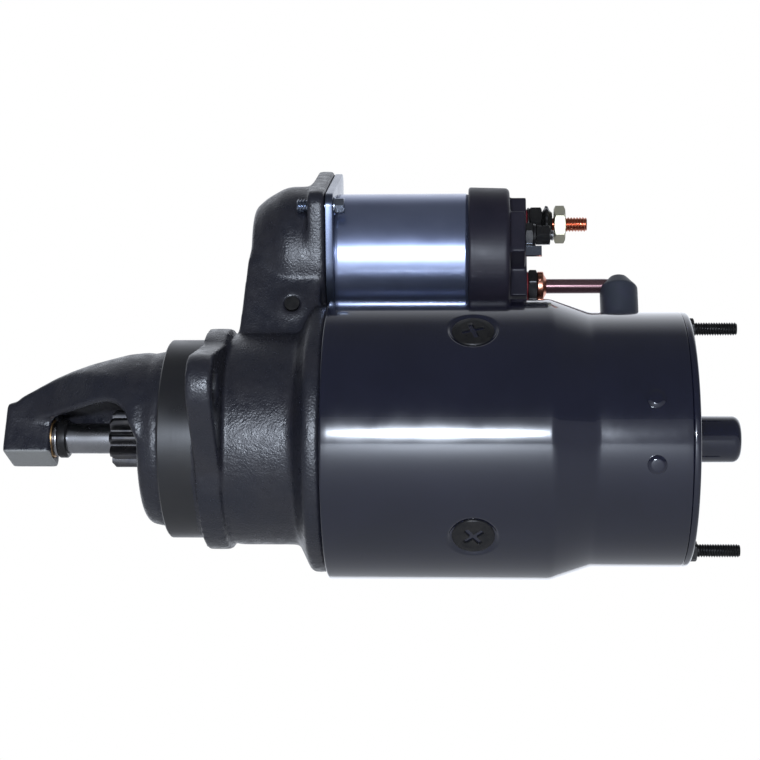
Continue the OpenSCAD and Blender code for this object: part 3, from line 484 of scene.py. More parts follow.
def machined_patch(mat, low, high, base, roughness):
    """Lighter, smoother finish where a face was cut, inside a box of object coordinates in mm."""
    nodes, links = mat.node_tree.nodes, mat.node_tree.links
    shader = nodes["Principled BSDF"]
    place = nodes.new("ShaderNodeTexCoord").outputs["Object"]
    axes = nodes.new("ShaderNodeSeparateXYZ")
    links.new(place, axes.inputs["Vector"])
    inside = None
    for i in range(3):
        for kind, limit in (("GREATER_THAN", low[i]), ("LESS_THAN", high[i])):
            test = nodes.new("ShaderNodeMath")
            test.operation = kind
            links.new(axes.outputs[i], test.inputs[0])
            test.inputs[1].default_value = limit * MM
            if inside is None:
                inside = test.outputs[0]
                continue
            both = nodes.new("ShaderNodeMath")
            both.operation = "MULTIPLY"
            links.new(inside, both.inputs[0])
            links.new(test.outputs[0], both.inputs[1])
            inside = both.outputs[0]
    mix = nodes.new("ShaderNodeMix")
    mix.data_type = "RGBA"
    links.new(inside, mix.inputs["Factor"])
    links.new(shader.inputs["Base Color"].links[0].from_socket, mix.inputs["A"])
    mix.inputs["B"].default_value = (*base, 1)
    links.new(mix.outputs["Result"], shader.inputs["Base Color"])
    rough = nodes.new("ShaderNodeMix")
    links.new(inside, rough.inputs["Factor"])
    links.new(shader.inputs["Roughness"].links[0].from_socket, rough.inputs["A"])
    rough.inputs["B"].default_value = roughness
    links.new(rough.outputs["Result"], shader.inputs["Roughness"])
    return mat


def turned_marks(mat, axis_scale=(900.0, 20.0, 20.0), strength=0.25, distance=0.02):
    """Adds fine tool marks that run round X."""
    nodes, links = mat.node_tree.nodes, mat.node_tree.links
    shader = nodes["Principled BSDF"]
    place = nodes.new("ShaderNodeTexCoord").outputs["Object"]
    stretch = nodes.new("ShaderNodeMapping")
    stretch.inputs["Scale"].default_value = axis_scale
    links.new(place, stretch.inputs["Vector"])
    noise = nodes.new("ShaderNodeTexNoise")
    noise.inputs["Scale"].default_value = 1.0
    noise.inputs["Detail"].default_value = 2
    links.new(stretch.outputs["Vector"], noise.inputs["Vector"])
    bump = nodes.new("ShaderNodeBump")
    bump.inputs["Strength"].default_value = strength
    bump.inputs["Distance"].default_value = distance * MM
    links.new(noise.outputs["Fac"], bump.inputs["Height"])
    if shader.inputs["Normal"].links:
        links.new(shader.inputs["Normal"].links[0].from_socket, bump.inputs["Normal"])
    links.new(bump.outputs["Normal"], shader.inputs["Normal"])
    return mat


CAST = material("cast_iron_black", (0.012, 0.013, 0.02), 0.33, specular=0.6,
                grain=((260, 0.35, 0.5), (1250, 0.9, 0.22)), tint=(0.02, 0.019, 0.024), tint_scale=60,
                rough_var=0.09, rough_scale=240)
PILOT = turned_marks(material("machined_black", (0.012, 0.012, 0.014), 0.33, specular=0.6,
                              tint=(0.02, 0.019, 0.018), rough_var=0.06), strength=0.4)
ENAMEL = material("gloss_black", (0.004, 0.005, 0.014), 0.16, coat=0.8, coat_roughness=0.035, specular=0.5,
                  grain=((260, 0.05, 0.08),), tint=(0.007, 0.008, 0.02), tint_scale=25, rough_var=0.035)
CAN = material("case_steel", (0.26, 0.30, 0.45), 0.31, metallic=0.92, coat=0.5, coat_roughness=0.06,
               tint=(0.31, 0.35, 0.5), tint_scale=30, rough_var=0.04, grain=((180, 0.04, 0.08),))
PLATE = material("plate_steel", (0.085, 0.10, 0.15), 0.3, metallic=0.9, coat=0.3, coat_roughness=0.08,
                 tint=(0.12, 0.14, 0.19), tint_scale=90, rough_var=0.06, grain=((600, 0.1, 0.05),))
ZINC = material("dark_zinc", (0.30, 0.34, 0.42), 0.22, metallic=1.0, tint=(0.4, 0.43, 0.5), tint_scale=120,
                rough_var=0.08, grain=((1400, 0.12, 0.03),))
PHENOLIC = material("phenolic", (0.014, 0.013, 0.021), 0.42, specular=0.28, tint=(0.02, 0.017, 0.026),
                    tint_scale=90, rough_var=0.06, grain=((700, 0.14, 0.08),))
COPPER = material("copper", (0.72, 0.30, 0.20), 0.24, metallic=1.0, tint=(0.62, 0.24, 0.14), tint_scale=220,
                  rough_var=0.08, grain=((900, 0.1, 0.03),))
YELLOW = material("brass_nut", (0.50, 0.47, 0.33), 0.4, metallic=0.6, tint=(0.44, 0.42, 0.34), tint_scale=160,
                  rough_var=0.08, grain=((1200, 0.12, 0.03),))
OXIDE = material("black_oxide", (0.028, 0.028, 0.03), 0.34, metallic=0.75, tint=(0.05, 0.048, 0.046),
                 tint_scale=260, rough_var=0.1, rough_scale=300, grain=((1500, 0.15, 0.03),))
RUBBER = material("rubber", (0.036, 0.038, 0.056), 0.48, specular=0.45, tint=(0.03, 0.036, 0.046),
                  tint_scale=200, rough_var=0.08, grain=((1300, 0.2, 0.05),))
STEEL = turned_marks(material("steel", (0.36, 0.36, 0.37), 0.27, metallic=1.0, tint=(0.27, 0.27, 0.28),
                              tint_scale=120, rough_var=0.07), strength=0.3, distance=0.012)
DARK_STEEL = turned_marks(material("dark_steel", (0.09, 0.09, 0.1), 0.3, metallic=1.0,
                                   tint=(0.15, 0.145, 0.14), tint_scale=150, rough_var=0.08),
                          strength=0.3, distance=0.012)
BRONZE = material("bronze", (0.45, 0.28, 0.13), 0.42, metallic=0.9, tint=(0.34, 0.2, 0.09), tint_scale=300,
                  rough_var=0.08, grain=((1800, 0.3, 0.04),))
WINDING = material("winding", (0.30, 0.085, 0.03), 0.35, metallic=0.3, tint=(0.2, 0.05, 0.02), tint_scale=150,
                   rough_var=0.08, grain=((500, 0.3, 0.3),))
CARBON = material("carbon", (0.05, 0.045, 0.045), 0.55, metallic=0.2, tint=(0.085, 0.06, 0.05),
                  tint_scale=400, rough_var=0.08, grain=((2500, 0.3, 0.04),))
NYLON = material("nylon", (0.62, 0.58, 0.47), 0.45, tint=(0.56, 0.51, 0.4), tint_scale=80, rough_var=0.05,
                 grain=((900, 0.05, 0.05),))
STACK = turned_marks(material("laminations", (0.16, 0.165, 0.175), 0.4, metallic=0.8, tint=(0.1, 0.1, 0.11),
                              tint_scale=90, rough_var=0.08), axis_scale=(1600.0, 5.0, 5.0), strength=0.6,
                     distance=0.05)
LACQUER = material("lead_lacquer", (0.20, 0.105, 0.115), 0.2, metallic=0.75, coat=0.8, coat_roughness=0.06,
                   tint=(0.15, 0.08, 0.085), tint_scale=60, rough_var=0.05, grain=((240, 0.08, 0.08),))
SEALANT = material("red_sealant", (0.28, 0.03, 0.035), 0.4, tint=(0.2, 0.02, 0.03), tint_scale=200,
                   grain=((900, 0.2, 0.05),))

SLOTS = {
    "cast_iron_black": CAST, "gloss_black": ENAMEL, "dark_zinc": ZINC, "case_steel": CAN,
    "phenolic": PHENOLIC, "copper": COPPER, "brass_nut": YELLOW, "black_oxide": OXIDE, "rubber": RUBBER, "steel": STEEL,
    "bronze": BRONZE, "winding": WINDING, "carbon": CARBON, "nylon": NYLON, "laminations": STACK,
    "lead_lacquer": LACQUER,
}


# the underside of the nose lug is cut flat
machined_patch(CAST, (span("drive_housing")[0].x - 1, -30, -12), (span("nose_bushing")[1].x + 2, 30, -8.7),
               (0.24, 0.24, 0.23), 0.4)


def dress_cad_nodes():
    """Every CAD node gets the material of its slot."""
    for sub in frame["record"]["subparts"]:
        node = frame["nodes"].get(sub["node"])
        if node is None:
            continue
        for held in node.material_slots:
            held.material = SLOTS[sub["material_slot"]]


# ---------------------------------------------------------------- drive housing
def make_housing():
    """The casting: the CAD solid with the soft corners of a sand casting, and crisp machined faces."""
    source = frame["nodes"]["drive_housing"]
    copy = bpy.data.objects.new("casting", source.data.copy())
    bpy.context.scene.collection.objects.link(copy)
    pilot_low = -PILOT_LENGTH

    def weight(co):
        r = np.hypot(co[:, 1], co[:, 2])
        machined = (co[:, 0] > pilot_low - 0.8) & (co[:, 0] < 0.6) & (r < 47)
        inside = (r < 39.5) & (co[:, 0] > -24) & (co[:, 2] < 45)
        w = np.ones(len(co))
        w[machined] = 0.35
        w[inside] = 0.5
        return w

    casting = fused("housing_casting", [copy], 0.95, 9, weight)
    dress(casting, "motor", CAST, ("drive_housing",), crease=180)
    profile = ring_profile([(pilot_low + 0.05, 38.0), (pilot_low + 0.05, 40.7), (pilot_low + 0.6, 41.29),
                            (-0.25, 41.29), (0.02, 41.0), (0.02, 38.0)])
    ring = lathe(profile, 192)
    piece("pilot_ring", *ring, "motor", PILOT, slot="cast_iron_black", crease=25)


# ---------------------------------------------------------------- field frame
def make_frame_shell():
    """Rolled tube with a swaged rear end; the pole screws sit in dimples pressed into it."""
    low, high = span("field_frame")
    x0, x1 = low.x, high.x
    r_front = high.z
    r_rear = span("end_frame")[1].z
    pole_x = (span("pole_screws")[0].x + span("pole_screws")[1].x) / 2
    taper0, taper1 = x1 - REAR_LENGTH - TAPER_LENGTH, x1 - REAR_LENGTH
    outline = fillet([(x0, r_front - 6.3), (x0, r_front), (taper0, r_front), (taper1, r_rear), (x1, r_rear),
                      (x1, r_rear - 2.9)], [0, 0.9, 9.0, 9.0, 0.5, 0], 8)
    inner = fillet([(x1, r_rear - 3.0), (taper1 - 2, r_rear - 3.0), (taper0 - 3, r_front - 6.35),
                    (x0, r_front - 6.35)], [0, 6.0, 6.0, 0], 4)
    dimple_r, flat_r, depth = 10.4, 8.75, 1.15
    columns = 720
    angles = [2 * math.pi * k / columns for k in range(columns)]
    centres = [math.radians(CLOCK + 45 + 90 * i) for i in range(4)]
    xs = []
    for (xa, ra), (xb, rb) in zip(outline, outline[1:]):
        steps = max(1, int(abs(xb - xa) / 2.2))
        near = xa < pole_x < xb
        if near:
            steps = 1
            rows = list(np.arange(xa, pole_x - 12, 2.5)) + list(np.arange(pole_x - 12, pole_x + 12.01, 0.45))
            rows += list(np.arange(pole_x + 14, xb, 2.5))
            xs += [(x, ra + (rb - ra) * (x - xa) / (xb - xa)) for x in rows]
        else:
            xs += [(xa + (xb - xa) * k / steps, ra + (rb - ra) * k / steps) for k in range(steps)]
    xs.append(outline[-1])
    xs += inner

    def dent(x, a):
        best = 0.0
        for c in centres:
            gap = (a - c + math.pi) % (2 * math.pi) - math.pi
            if abs(gap) > 0.3:
                continue
            d = math.hypot(x - pole_x, gap * r_front)
            if d < dimple_r:
                t = min(1.0, (dimple_r - d) / (dimple_r - flat_r))
                best = depth * (t * t * (3 - 2 * t))
        return best

    verts, faces = [], []
    outer_rows = len(xs) - len(inner)
    for i, (x, r) in enumerate(xs):
        close = abs(x - pole_x) < dimple_r + 0.5 and i < outer_rows
        for a in angles:
            rr = r - (dent(x, a) if close else 0.0)
            verts.append((x, -rr * math.cos(a), rr * math.sin(a)))
    rows = len(xs)
    for i in range(rows):
        j = (i + 1) % rows
        for k in range(columns):
            n = (k + 1) % columns
            faces.append((i * columns + k, j * columns + k, j * columns + n, i * columns + n))
    piece("frame_tube", verts, faces, "motor", ENAMEL, ("field_frame",), "gloss_black", crease=50)


def make_pole_screws():
    """Flush oval heads with a cross recess."""
    low, high = span("pole_screws")
    pole_x = (low.x + high.x) / 2
    r_top = span("field_frame")[1].z - 0.55
    parts = []
    profile = fillet([(-4.2, 0), (-4.2, 8.0), (-0.9, 8.62), (-0.35, 8.3), (0.0, 6.2), (0.22, 0)],
                     [0, 0.2, 0.3, 0.4, 3, 0], 4)
    head = raw_object(lathe(profile, 96), "head")
    arm, deep = 5.1, 2.6
    slots = []
    for flip in (0, 1):
        w0, w1 = 1.15, 0.7
        a0, a1 = arm, arm - 1.6
        verts = []
        for x, w, a in ((1.0, w0, a0), (-deep, w1, a1)):
            for s, t in ((-1, -1), (1, -1), (1, 1), (-1, 1)):
                u, v = s * a, t * w
                verts.append((x, u, v) if not flip else (x, -v, u))
        faces = [(0, 3, 2, 1), (4, 5, 6, 7), (0, 1, 5, 4), (1, 2, 6, 5), (2, 3, 7, 6), (3, 0, 4, 7)]
        slots.append(raw_object((verts, faces), "slot"))
    head = cut(head, slots, "head_cut")
    verts = [tuple(v.co / MM) for v in head.data.vertices]
    faces = [tuple(p.vertices) for p in head.data.polygons]
    bpy.data.objects.remove(head, do_unlink=True)
    for i in range(4):
        spin = math.radians(18 + 37 * i)
        turned = []
        for x, y, z in verts:
            u = y * math.cos(spin) - z * math.sin(spin)
            v = y * math.sin(spin) + z * math.cos(spin)
            turned.append((pole_x + u, -(r_top + x), v))
        parts.append(clocked((turned, faces), CLOCK + 45 + 90 * i))
    ob = piece("pole_screw_heads", *merged(parts), "motor", OXIDE, ("pole_screws",), "black_oxide", crease=30)
    bevelled(ob, 0.22, 2, 40)


def make_brush_screws():
    """Small pan heads on the reduced rear end."""
    low, high = span("brush_support_screws")
    x = (low.x + high.x) / 2
    r = span("end_frame")[1].z
    parts = []
    profile = fillet([(0.0, 0), (0.0, 3.7), (0.7, 3.75), (1.5, 2.4), (1.62, 0)], [0, 0.1, 0.5, 1.2, 0], 4)
    for side in (0, 180):
        for s in (-14, 14):
            verts, faces = lathe(profile, 48)
            laid = [(x + v[1], -(r - 0.12 + v[0]), v[2]) for v in verts]
            parts.append(clocked((laid, faces), CLOCK + side + s))
    piece("brush_screw_heads", *merged(parts), "motor", ENAMEL, ("brush_support_screws",), "gloss_black")


def make_end_cover():
    """Pressed end frame with a drawn bearing boss."""
    low, high = span("end_frame")
    x0, x1 = low.x, high.x
    r = high.z
    plate = x0 + 3.0
    outline = fillet([(x0 + 0.05, 0), (x0 + 0.05, r - 0.1), (plate, r - 0.1), (plate, r - 5),
                      (plate - 0.5, r - 7), (plate - 0.5, 16), (plate, 13.5), (plate, 10.6),
                      (plate + 0.8, 9.6), (x1 - 0.1, 9.5),
                      (x1, 0)], [0, 0.8, 2.0, 1.0, 1.0, 2.0, 2.0, 1.0, 1.2, 3.2, 0], 5)
    piece("end_cover", *lathe(outline, 256), "motor", ENAMEL, ("end_frame",), "gloss_black", crease=40)


def make_through_bolts():
    """Hex shoulders with long black threads behind them."""
    low, high = span("through_bolts")
    plate = span("end_frame")[0].x + 3.0
    tip = high.x
    parts = []
    for side in (90, -90):
        rod = threaded_rod(low.x, tip, 2.72, 1.05, plate + 3.8, chamfer=0.7, segments=40)
        nut = hex_nut(plate, plate + 3.8, 8.0, 0.0, turn=12, segments=72)
        parts += [clocked(placed(p, (0, -45.7, 0)), CLOCK + side) for p in (rod, nut)]
    piece("through_bolt_pair", *merged(parts), "motor", OXIDE, ("through_bolts",), "black_oxide", crease=32)


# ---------------------------------------------------------------- solenoid
AXIS = (0.0, SOLENOID_Z)


def band_outline(circles, step=3):
    """Outline of a band stretched round circles of (y, z, radius)."""
    out = []
    for deg in range(0, 360, step):
        a = math.radians(deg)
        c = max(circles, key=lambda k: k[0] * math.cos(a) + k[1] * math.sin(a) + k[2])
        out.append((c[0] + c[2] * math.cos(a), c[1] + c[2] * math.sin(a)))
    return out


def make_solenoid_plate():
    low, high = span("solenoid_plate")
    x0 = low.x
    x1 = x0 + 3.4
    case_r = span("solenoid_case")[1].z - SOLENOID_Z
    ear_at = case_r + 5.6
    lobe_at = ear_at + 9
    circles = [(0, 0, case_r + 2)]
    for deg in (77, 257):
        a = math.radians(deg)
        circles.append((-ear_at * math.sin(a), ear_at * math.cos(a), 5.6))
    top = math.radians(-12)
    circles.append((-lobe_at * math.sin(top), lobe_at * math.cos(top), 4.8))
    outline = band_outline(circles, 3)
    clear = 58.35
    fixed = []
    for y, z in outline:
        z += SOLENOID_Z
        if math.hypot(y, z) < clear and z < 62:
            z = math.sqrt(max(clear ** 2 - y * y, 0))
        fixed.append((y, z))
    rows = [(x0 + 0.02, 0.35), (x0 + 0.35, 0.0), (x1 - 0.5, 0.0), (x1 - 0.15, 0.15), (x1, 0.5)]
    verts, faces, n = [], [], len(fixed)
    for x, shrink in rows:
        for y, z in fixed:
            d = math.hypot(y, z - SOLENOID_Z)
            k = (d - shrink) / d
            verts.append((x, y * k, SOLENOID_Z + (z - SOLENOID_Z) * k))
    for i in range(len(rows) - 1):
        for k in range(n):
            m = (k + 1) % n
            faces.append((i * n + k, i * n + m, (i + 1) * n + m, (i + 1) * n + k))
    base = len(verts)
    hole = [(17.2 * math.cos(math.radians(3 * k)), 17.2 * math.sin(math.radians(3 * k))) for k in range(n)]
    verts += [(x0 + 0.02, y, SOLENOID_Z + z) for y, z in hole] + [(x1, y, SOLENOID_Z + z) for y, z in hole]
    last = (len(rows) - 1) * n
    for k in range(n):
        m = (k + 1) % n
        faces.append((base + k, base + m, m, k))
        faces.append((last + k, last + m, base + n + m, base + n + k))
        faces.append((base + n + k, base + n + m, base + m, base + k))
    well = lathe(ring_profile([(x0 + 0.1, 16.6), (x0 + 0.1, 17.8), (high.x, 17.8), (high.x, 16.6)]), 96, AXIS)
    piece("solenoid_flange", *merged([(verts, faces), well]), "motor", PLATE, ("solenoid_plate",),
          "dark_zinc", crease=30)


def make_solenoid_screws():
    low, high = span("solenoid_screws")
    plate = span("solenoid_plate")[0].x + 3.4
    case_r = span("solenoid_case")[1].z - SOLENOID_Z
    reach = case_r + 5.6
    parts = []
    for deg in (77, 257):
        rod = flipped(threaded_rod(-plate, -low.x, 3.05, 1.27, chamfer=0.7, segments=36))
        head = hex_nut(plate, high.x, 6.3, 0.0, turn=8, segments=72, washer=0.9, chamfer=(False, True))
        flange = lathe(fillet([(plate, 0), (plate, 3.9), (plate + 0.8, 3.8), (plate + 1.0, 0)], 0.25, 3), 64)
        for p in (rod, head, flange):
            parts.append(placed(placed(placed(p, (0, 0, reach)), turn_x=deg), (0, 0, SOLENOID_Z)))
    piece("solenoid_hex_screws", *merged(parts), "motor", ZINC, ("solenoid_screws",), "dark_zinc", crease=30)


def flipped(part):
    """A part mirrored in X, with its faces turned the right way."""
    verts, faces = part
    return [(-x, y, z) for x, y, z in verts], [tuple(reversed(f)) for f in faces]


def make_solenoid_case():
    low, high = span("solenoid_case")
    x0, x1, r = low.x, high.x, high.z - SOLENOID_Z
    outline = fillet([(x0, r - 1.7), (x0, r - 0.25), (x0 + 1.6, r - 0.05), (x1 - 1.2, r - 0.05),
                      (x1, r - 0.6), (x1, r - 1.7)], [0, 0.5, 1.5, 0.6, 0.3, 0], 4)
    outline += [(x1, r - 1.7), (x0, r - 1.7)]
    piece("solenoid_can", *lathe(outline, 192, AXIS), "motor", CAN, ("solenoid_case",), "case_steel",
          crease=40)


def make_cap():
    """Moulded cap: the CAD solid with rounded mould edges."""
    source = frame["nodes"]["solenoid_cap"]
    copy = bpy.data.objects.new("cap", source.data.copy())
    bpy.context.scene.collection.objects.link(copy)
    cap = fused("terminal_cap", [copy], 0.5, 4)
    dress(cap, "motor", PHENOLIC, ("solenoid_cap",), crease=180)


def make_terminals():
    """Studs, nuts and washers of the four terminals."""
    battery = (0.0, BATTERY_Z)
    motor = (0.0, MOTOR_Z)
    switch = (SWITCH_Y, SOLENOID_Z)
    low, high = span("battery_stud")
    base = span("battery_nut")[0].x
    rod = threaded_rod(low.x + 3.4, high.x, 3.165, 1.27, base - 6, battery, chamfer=0.9, segments=64,
                       depth=0.55)
    head = lathe(fillet([(low.x, 0), (low.x, 7), (low.x + 3.5, 7), (low.x + 3.5, 0)], 0.4, 3), 64, battery)
    piece("battery_stud_thread", *merged([rod, head]), "motor", COPPER, ("battery_stud",), "copper",
          crease=32)
    low, high = span("battery_nut")
    nut = hex_nut(low.x + 0.9, high.x, 14.1, 2.7, battery, turn=21, segments=120)
    face = low.x + 0.9
    seat = lathe(ring_profile(fillet([(low.x, 2.8), (low.x, 7.4), (face, 7.4), (face, 2.8)], 0.3)),
                 96, battery)
    piece("battery_base_nut", *merged([nut, seat]), "motor", OXIDE, ("battery_nut",), "black_oxide",
          crease=30)
    low, high = span("battery_washer")
    rows = [0.0, 0.9, 1.5, 2.5, 3.3, 4.5]
    radii = [5.4, 6.6, 8.1, 7.9, 6.4, 5.2]

    def toothed(x, a):
        t = x - low.x
        r = float(np.interp(t, rows, radii))
        tooth = 0.22 * math.cos(14 * a) if 0.7 < t < 3.0 else 0.0
        return r + tooth

    steps = list(np.linspace(low.x + 0.01, high.x - 0.01, 19))
    washer = wavy_lathe(steps, toothed, 168, battery)
    piece("battery_lock_washer", *washer, "motor", OXIDE, ("battery_washer",), "black_oxide", crease=28)
    low, high = span("battery_jam_nut")
    jam = hex_nut(low.x, high.x, 14.25, 2.7, battery, turn=0, segments=120)
    piece("battery_yellow_nut", *jam, "motor", YELLOW, ("battery_jam_nut",), "brass_nut", crease=30)
    low, high = span("motor_nut")
    nut = hex_nut(low.x, high.x, 12.6, 3.3, motor, turn=10, segments=120)
    piece("motor_base_nut", *nut, "motor", OXIDE, ("motor_nut",), "black_oxide", crease=30)
    low, high = span("switch_stud")
    rod = threaded_rod(low.x, high.x, 2.38, 0.9, centre=switch, chamfer=0.6, segments=40)
    piece("switch_stud_thread", *rod, "motor", STEEL, ("switch_stud",), "steel", crease=32)
    low, high = span("switch_nut")
    base_nut = hex_nut(low.x, low.x + 3.2, 9.3, 2.0, switch, turn=5, segments=72)
    star = lathe(ring_profile([(low.x + 3.3, 2.1), (low.x + 3.3, 4.9),
                               (low.x + 4.3, 4.7), (low.x + 4.3, 2.1)]), 64, switch)
    top_nut = hex_nut(low.x + 4.5, high.x, 7.9, 2.0, switch, turn=24, segments=72)
    piece("switch_nuts", *merged([base_nut, star, top_nut]), "motor", OXIDE, ("switch_nut",), "black_oxide",
          crease=30)
    for name, centre, x, r in (("battery_seal", battery, span("battery_nut")[0].x - 0.55, 7.0),
                               ("motor_seal", motor, span("motor_nut")[0].x - 0.55, 6.6)):
        ring = lathe(ring_profile(fillet([(x - 0.2, 3.6), (x - 0.2, r),
                                          (x + 0.5, r - 0.4), (x + 0.5, 3.6)], 0.3)), 64, centre)
        piece(name, *ring, "motor", SEALANT, slot="rubber", crease=30)


# ---------------------------------------------------------------- field lead and boot
def make_lead():
    z = MOTOR_Z
    low = span("field_lead")[0]
    boot_low, boot_high = span("lead_boot")
    lead_x = (boot_low.x + boot_high.x) / 2
    bend = 6.0
    inner_z = low.z + 3.15
    start = low.x + 2.9
    path = [(x, 0, z) for x in np.linspace(start, lead_x - bend, 14)]
    for k in range(1, 9):
        a = math.radians(90 - 90 * k / 8)
        path.append((lead_x - bend + bend * math.cos(a), 0, z - bend + bend * math.sin(a)))
    path += [(lead_x, 0, h) for h in np.linspace(z - bend - 1, inner_z + bend + 1, 6)]
    for k in range(0, 9):
        a = math.radians(-90 * k / 8)
        path.append((lead_x - bend + bend * math.cos(a), 0, inner_z + bend + bend * math.sin(a)))
    path += [(x, 0, inner_z) for x in (lead_x - bend - 4, low.x + 14)]
    rod = tube_along(path, 3.15, 32)
    piece("field_lead_rod", *rod, "motor", LACQUER, ("field_lead",), "lead_lacquer", crease=40)
    ring = lathe(fillet([(low.x, 0), (low.x, 6.3), (low.x + 2.6, 6.3), (low.x + 2.9, 5.0), (low.x + 3.9, 3.3),
                         (low.x + 3.9, 0)], [0, 0.5, 0.6, 0.4, 0.5, 0], 4), 64, (0.0, z))
    piece("field_lead_eye", *ring, "motor", COPPER, slot="copper", crease=35)


def make_boot():
    """Moulded rubber elbow over the lead's entry."""
    low, high = span("lead_boot")
    lead_x = (low.x + high.x) / 2
    foot_r = high.x - lead_x
    body_r = foot_r - 0.7
    r_rear = span("end_frame")[1].z
    stem = lathe(fillet([(low.z, 0), (low.z, 6.2), (r_rear - 0.6, 6.2), (r_rear - 0.2, foot_r - 0.1),
                         (r_rear + 1.5, foot_r - 0.2), (r_rear + 2.4, body_r), (high.z - 5.6, body_r),
                         (high.z - 0.2, body_r - 4.6), (high.z - 0.1, 0)],
                        [0, 0, 0.3, 0.5, 0.5, 0.8, 1.6, 1.0, 0], 4), 64)
    upright = [(lead_x + v[1], v[2], v[0]) for v in stem[0]]
    nib = block((lead_x - 0.4, -2.6, high.z - 3.0), (lead_x + 2.6, 0.2, high.z - 0.05))
    boot = fused("rubber_boot", [raw_object((upright, stem[1])), raw_object(nib)], 0.42, 4)
    dress(boot, "motor", RUBBER, ("lead_boot",), crease=180)


# ---------------------------------------------------------------- drive in the nose window
# a pinion tooth: (share of the pitch, share of the height)
FLANK = ((0.08, 1.0), (0.105, 0.97), (0.165, 0.8), (0.23, 0.55), (0.29, 0.3), (0.35, 0.08), (0.42, 0.0))
TOOTH = tuple((-t, f) for t, f in reversed(FLANK)) + ((0.0, 1.0),) + FLANK + ((0.5, -0.02),)


def gear(x0, x1, teeth, root, tip, chamfer=1.6):
    """A spur pinion along X with rounded roots and chamfered front corners."""
    outline = []
    for i in range(teeth):
        for t, f in TOOTH:
            a = 2 * math.pi * (i + t) / teeth
            outline.append((root + f * (tip - root), a))
    rows = [(x0, tip - chamfer), (x0 + chamfer, tip), (x1 - 0.5, tip), (x1, tip - 0.5)]
    n = len(outline)
    verts, faces = [], []
    for x, limit in rows:
        for r, a in outline:
            r = min(r, limit)
            verts.append((x, r * math.cos(a), r * math.sin(a)))
    for i in range(len(rows) - 1):
        for k in range(n):
            m = (k + 1) % n
            faces.append((i * n + k, i * n + m, (i + 1) * n + m, (i + 1) * n + k))
    centre = len(verts)
    verts += [(x0, 0, 0), (x1, 0, 0)]
    last = (len(rows) - 1) * n
    for k in range(n):
        m = (k + 1) % n
        faces.append((centre, m, k))
        faces.append((centre + 1, last + k, last + m))
    return verts, faces


def make_drive():
    low, high = span("pinion_gear")
    teeth_end = low.x + 19.0
    body = gear(low.x, teeth_end, 9, 7.7, 12.1)
    neck = lathe(fillet([(teeth_end - 1, 0), (teeth_end - 1, 8.0), (high.x, 8.0), (high.x, 0)], 0.3, 3), 72)
    piece("pinion", *merged([body, neck]), "pinion_body", DARK_STEEL, ("pinion_gear",), "steel", crease=35)
    low, high = span("pinion_stop")
    stop = lathe(ring_profile(fillet([(low.x, 6.3), (low.x, 7.6), (low.x + 0.7, 8.15), (high.x - 0.7, 8.15),
                                      (high.x, 7.5), (high.x, 6.3)], 0.3, 3)), 72)
    piece("pinion_stop_ring", *stop, "armature_body", OXIDE, ("pinion_stop",), "black_oxide", crease=30)
    low, high = span("thrust_collar")
    collar = lathe(ring_profile(fillet([(low.x, 6.3), (low.x, 7.5),
                                        (high.x, 7.5), (high.x, 6.3)], 0.15, 2)), 72)
    piece("thrust_ring", *collar, "armature_body", STEEL, ("thrust_collar",), "steel", crease=30)
    low, high = span("nose_bushing")
    bush = lathe(ring_profile(fillet([(low.x, 6.42), (low.x, 7.93), (high.x, 7.93), (high.x, 6.8),
                                      (high.x - 0.4, 6.42)], 0.1, 2)), 96)
    piece("nose_sleeve_bearing", *bush, "motor", BRONZE, ("nose_bushing",), "bronze", crease=30)


def make_springs():
    low, high = span("return_spring")
    x0, x1 = low.x, high.x
    coil = helix(x0, x1, 14.4, 1.8, 5.5, AXIS)
    ob = piece("return_coil", *coil, "motor", STEEL, ("return_spring",), "steel", crease=60)
    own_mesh(ob)
    low, high = span("contact_spring")
    x0, x1 = low.x, high.x
    coil = helix(x0, x1, 4.4, 1.0, 4.5, AXIS)
    ob = piece("contact_coil", *coil, "motor", STEEL, ("contact_spring",), "steel", crease=60)
    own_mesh(ob)
    low, high = span("mesh_spring")
    coil = helix(low.x, high.x, 13.2, 2.6, 5.5)
    piece("mesh_coil", *coil, "collar_body", STEEL, ("mesh_spring",), "steel", crease=60)


# ---------------------------------------------------------------- scene
def make_stage():
    """White floor well below the motor, which its flange holds up."""
    size, drop = 6.0, 0.42
    mesh = bpy.data.meshes.new("floor")
    mesh.from_pydata([(-size, -size, -drop), (size, -size, -drop), (size, size, -drop), (-size, size, -drop)],
                     [], [(0, 1, 2, 3)])
    floor = bpy.data.objects.new("floor", mesh)
    bpy.context.scene.collection.objects.link(floor)
    white = material("floor_white", (0.86, 0.86, 0.86), 0.6, tint=(0.84, 0.84, 0.84), tint_scale=2)
    floor.data.materials.append(white)


VIEW_TILT = math.radians(22.5)  # the motor leans this far away from the camera
EYE = Vector((0, -math.cos(VIEW_TILT), -math.sin(VIEW_TILT)))  # from the motor towards the camera
UP = Vector((0, -math.sin(VIEW_TILT), math.cos(VIEW_TILT)))


LOOK_AT = Vector((0.0705, 0, 0)) + UP * 0.0245
EYE_DISTANCE = 0.713
EYE_SHIFT = Vector((0.0395, 0, 0)) - UP * 0.009  # the eye stands a little behind the middle and low


def make_camera():
    target = LOOK_AT
    camera = bpy.data.cameras.new("camera")
    camera.lens = 81.2
    camera.sensor_width = 36
    ob = bpy.data.objects.new("camera", camera)
    bpy.context.scene.collection.objects.link(ob)
    ob.location = target + EYE * EYE_DISTANCE + EYE_SHIFT
    look = (target - ob.location).normalized()
    side = look.cross(UP).normalized()
    true_up = side.cross(look)
    ob.rotation_mode = "QUATERNION"
    ob.rotation_quaternion = Matrix((side, true_up, -look)).transposed().to_quaternion()
    bpy.context.scene.camera = ob


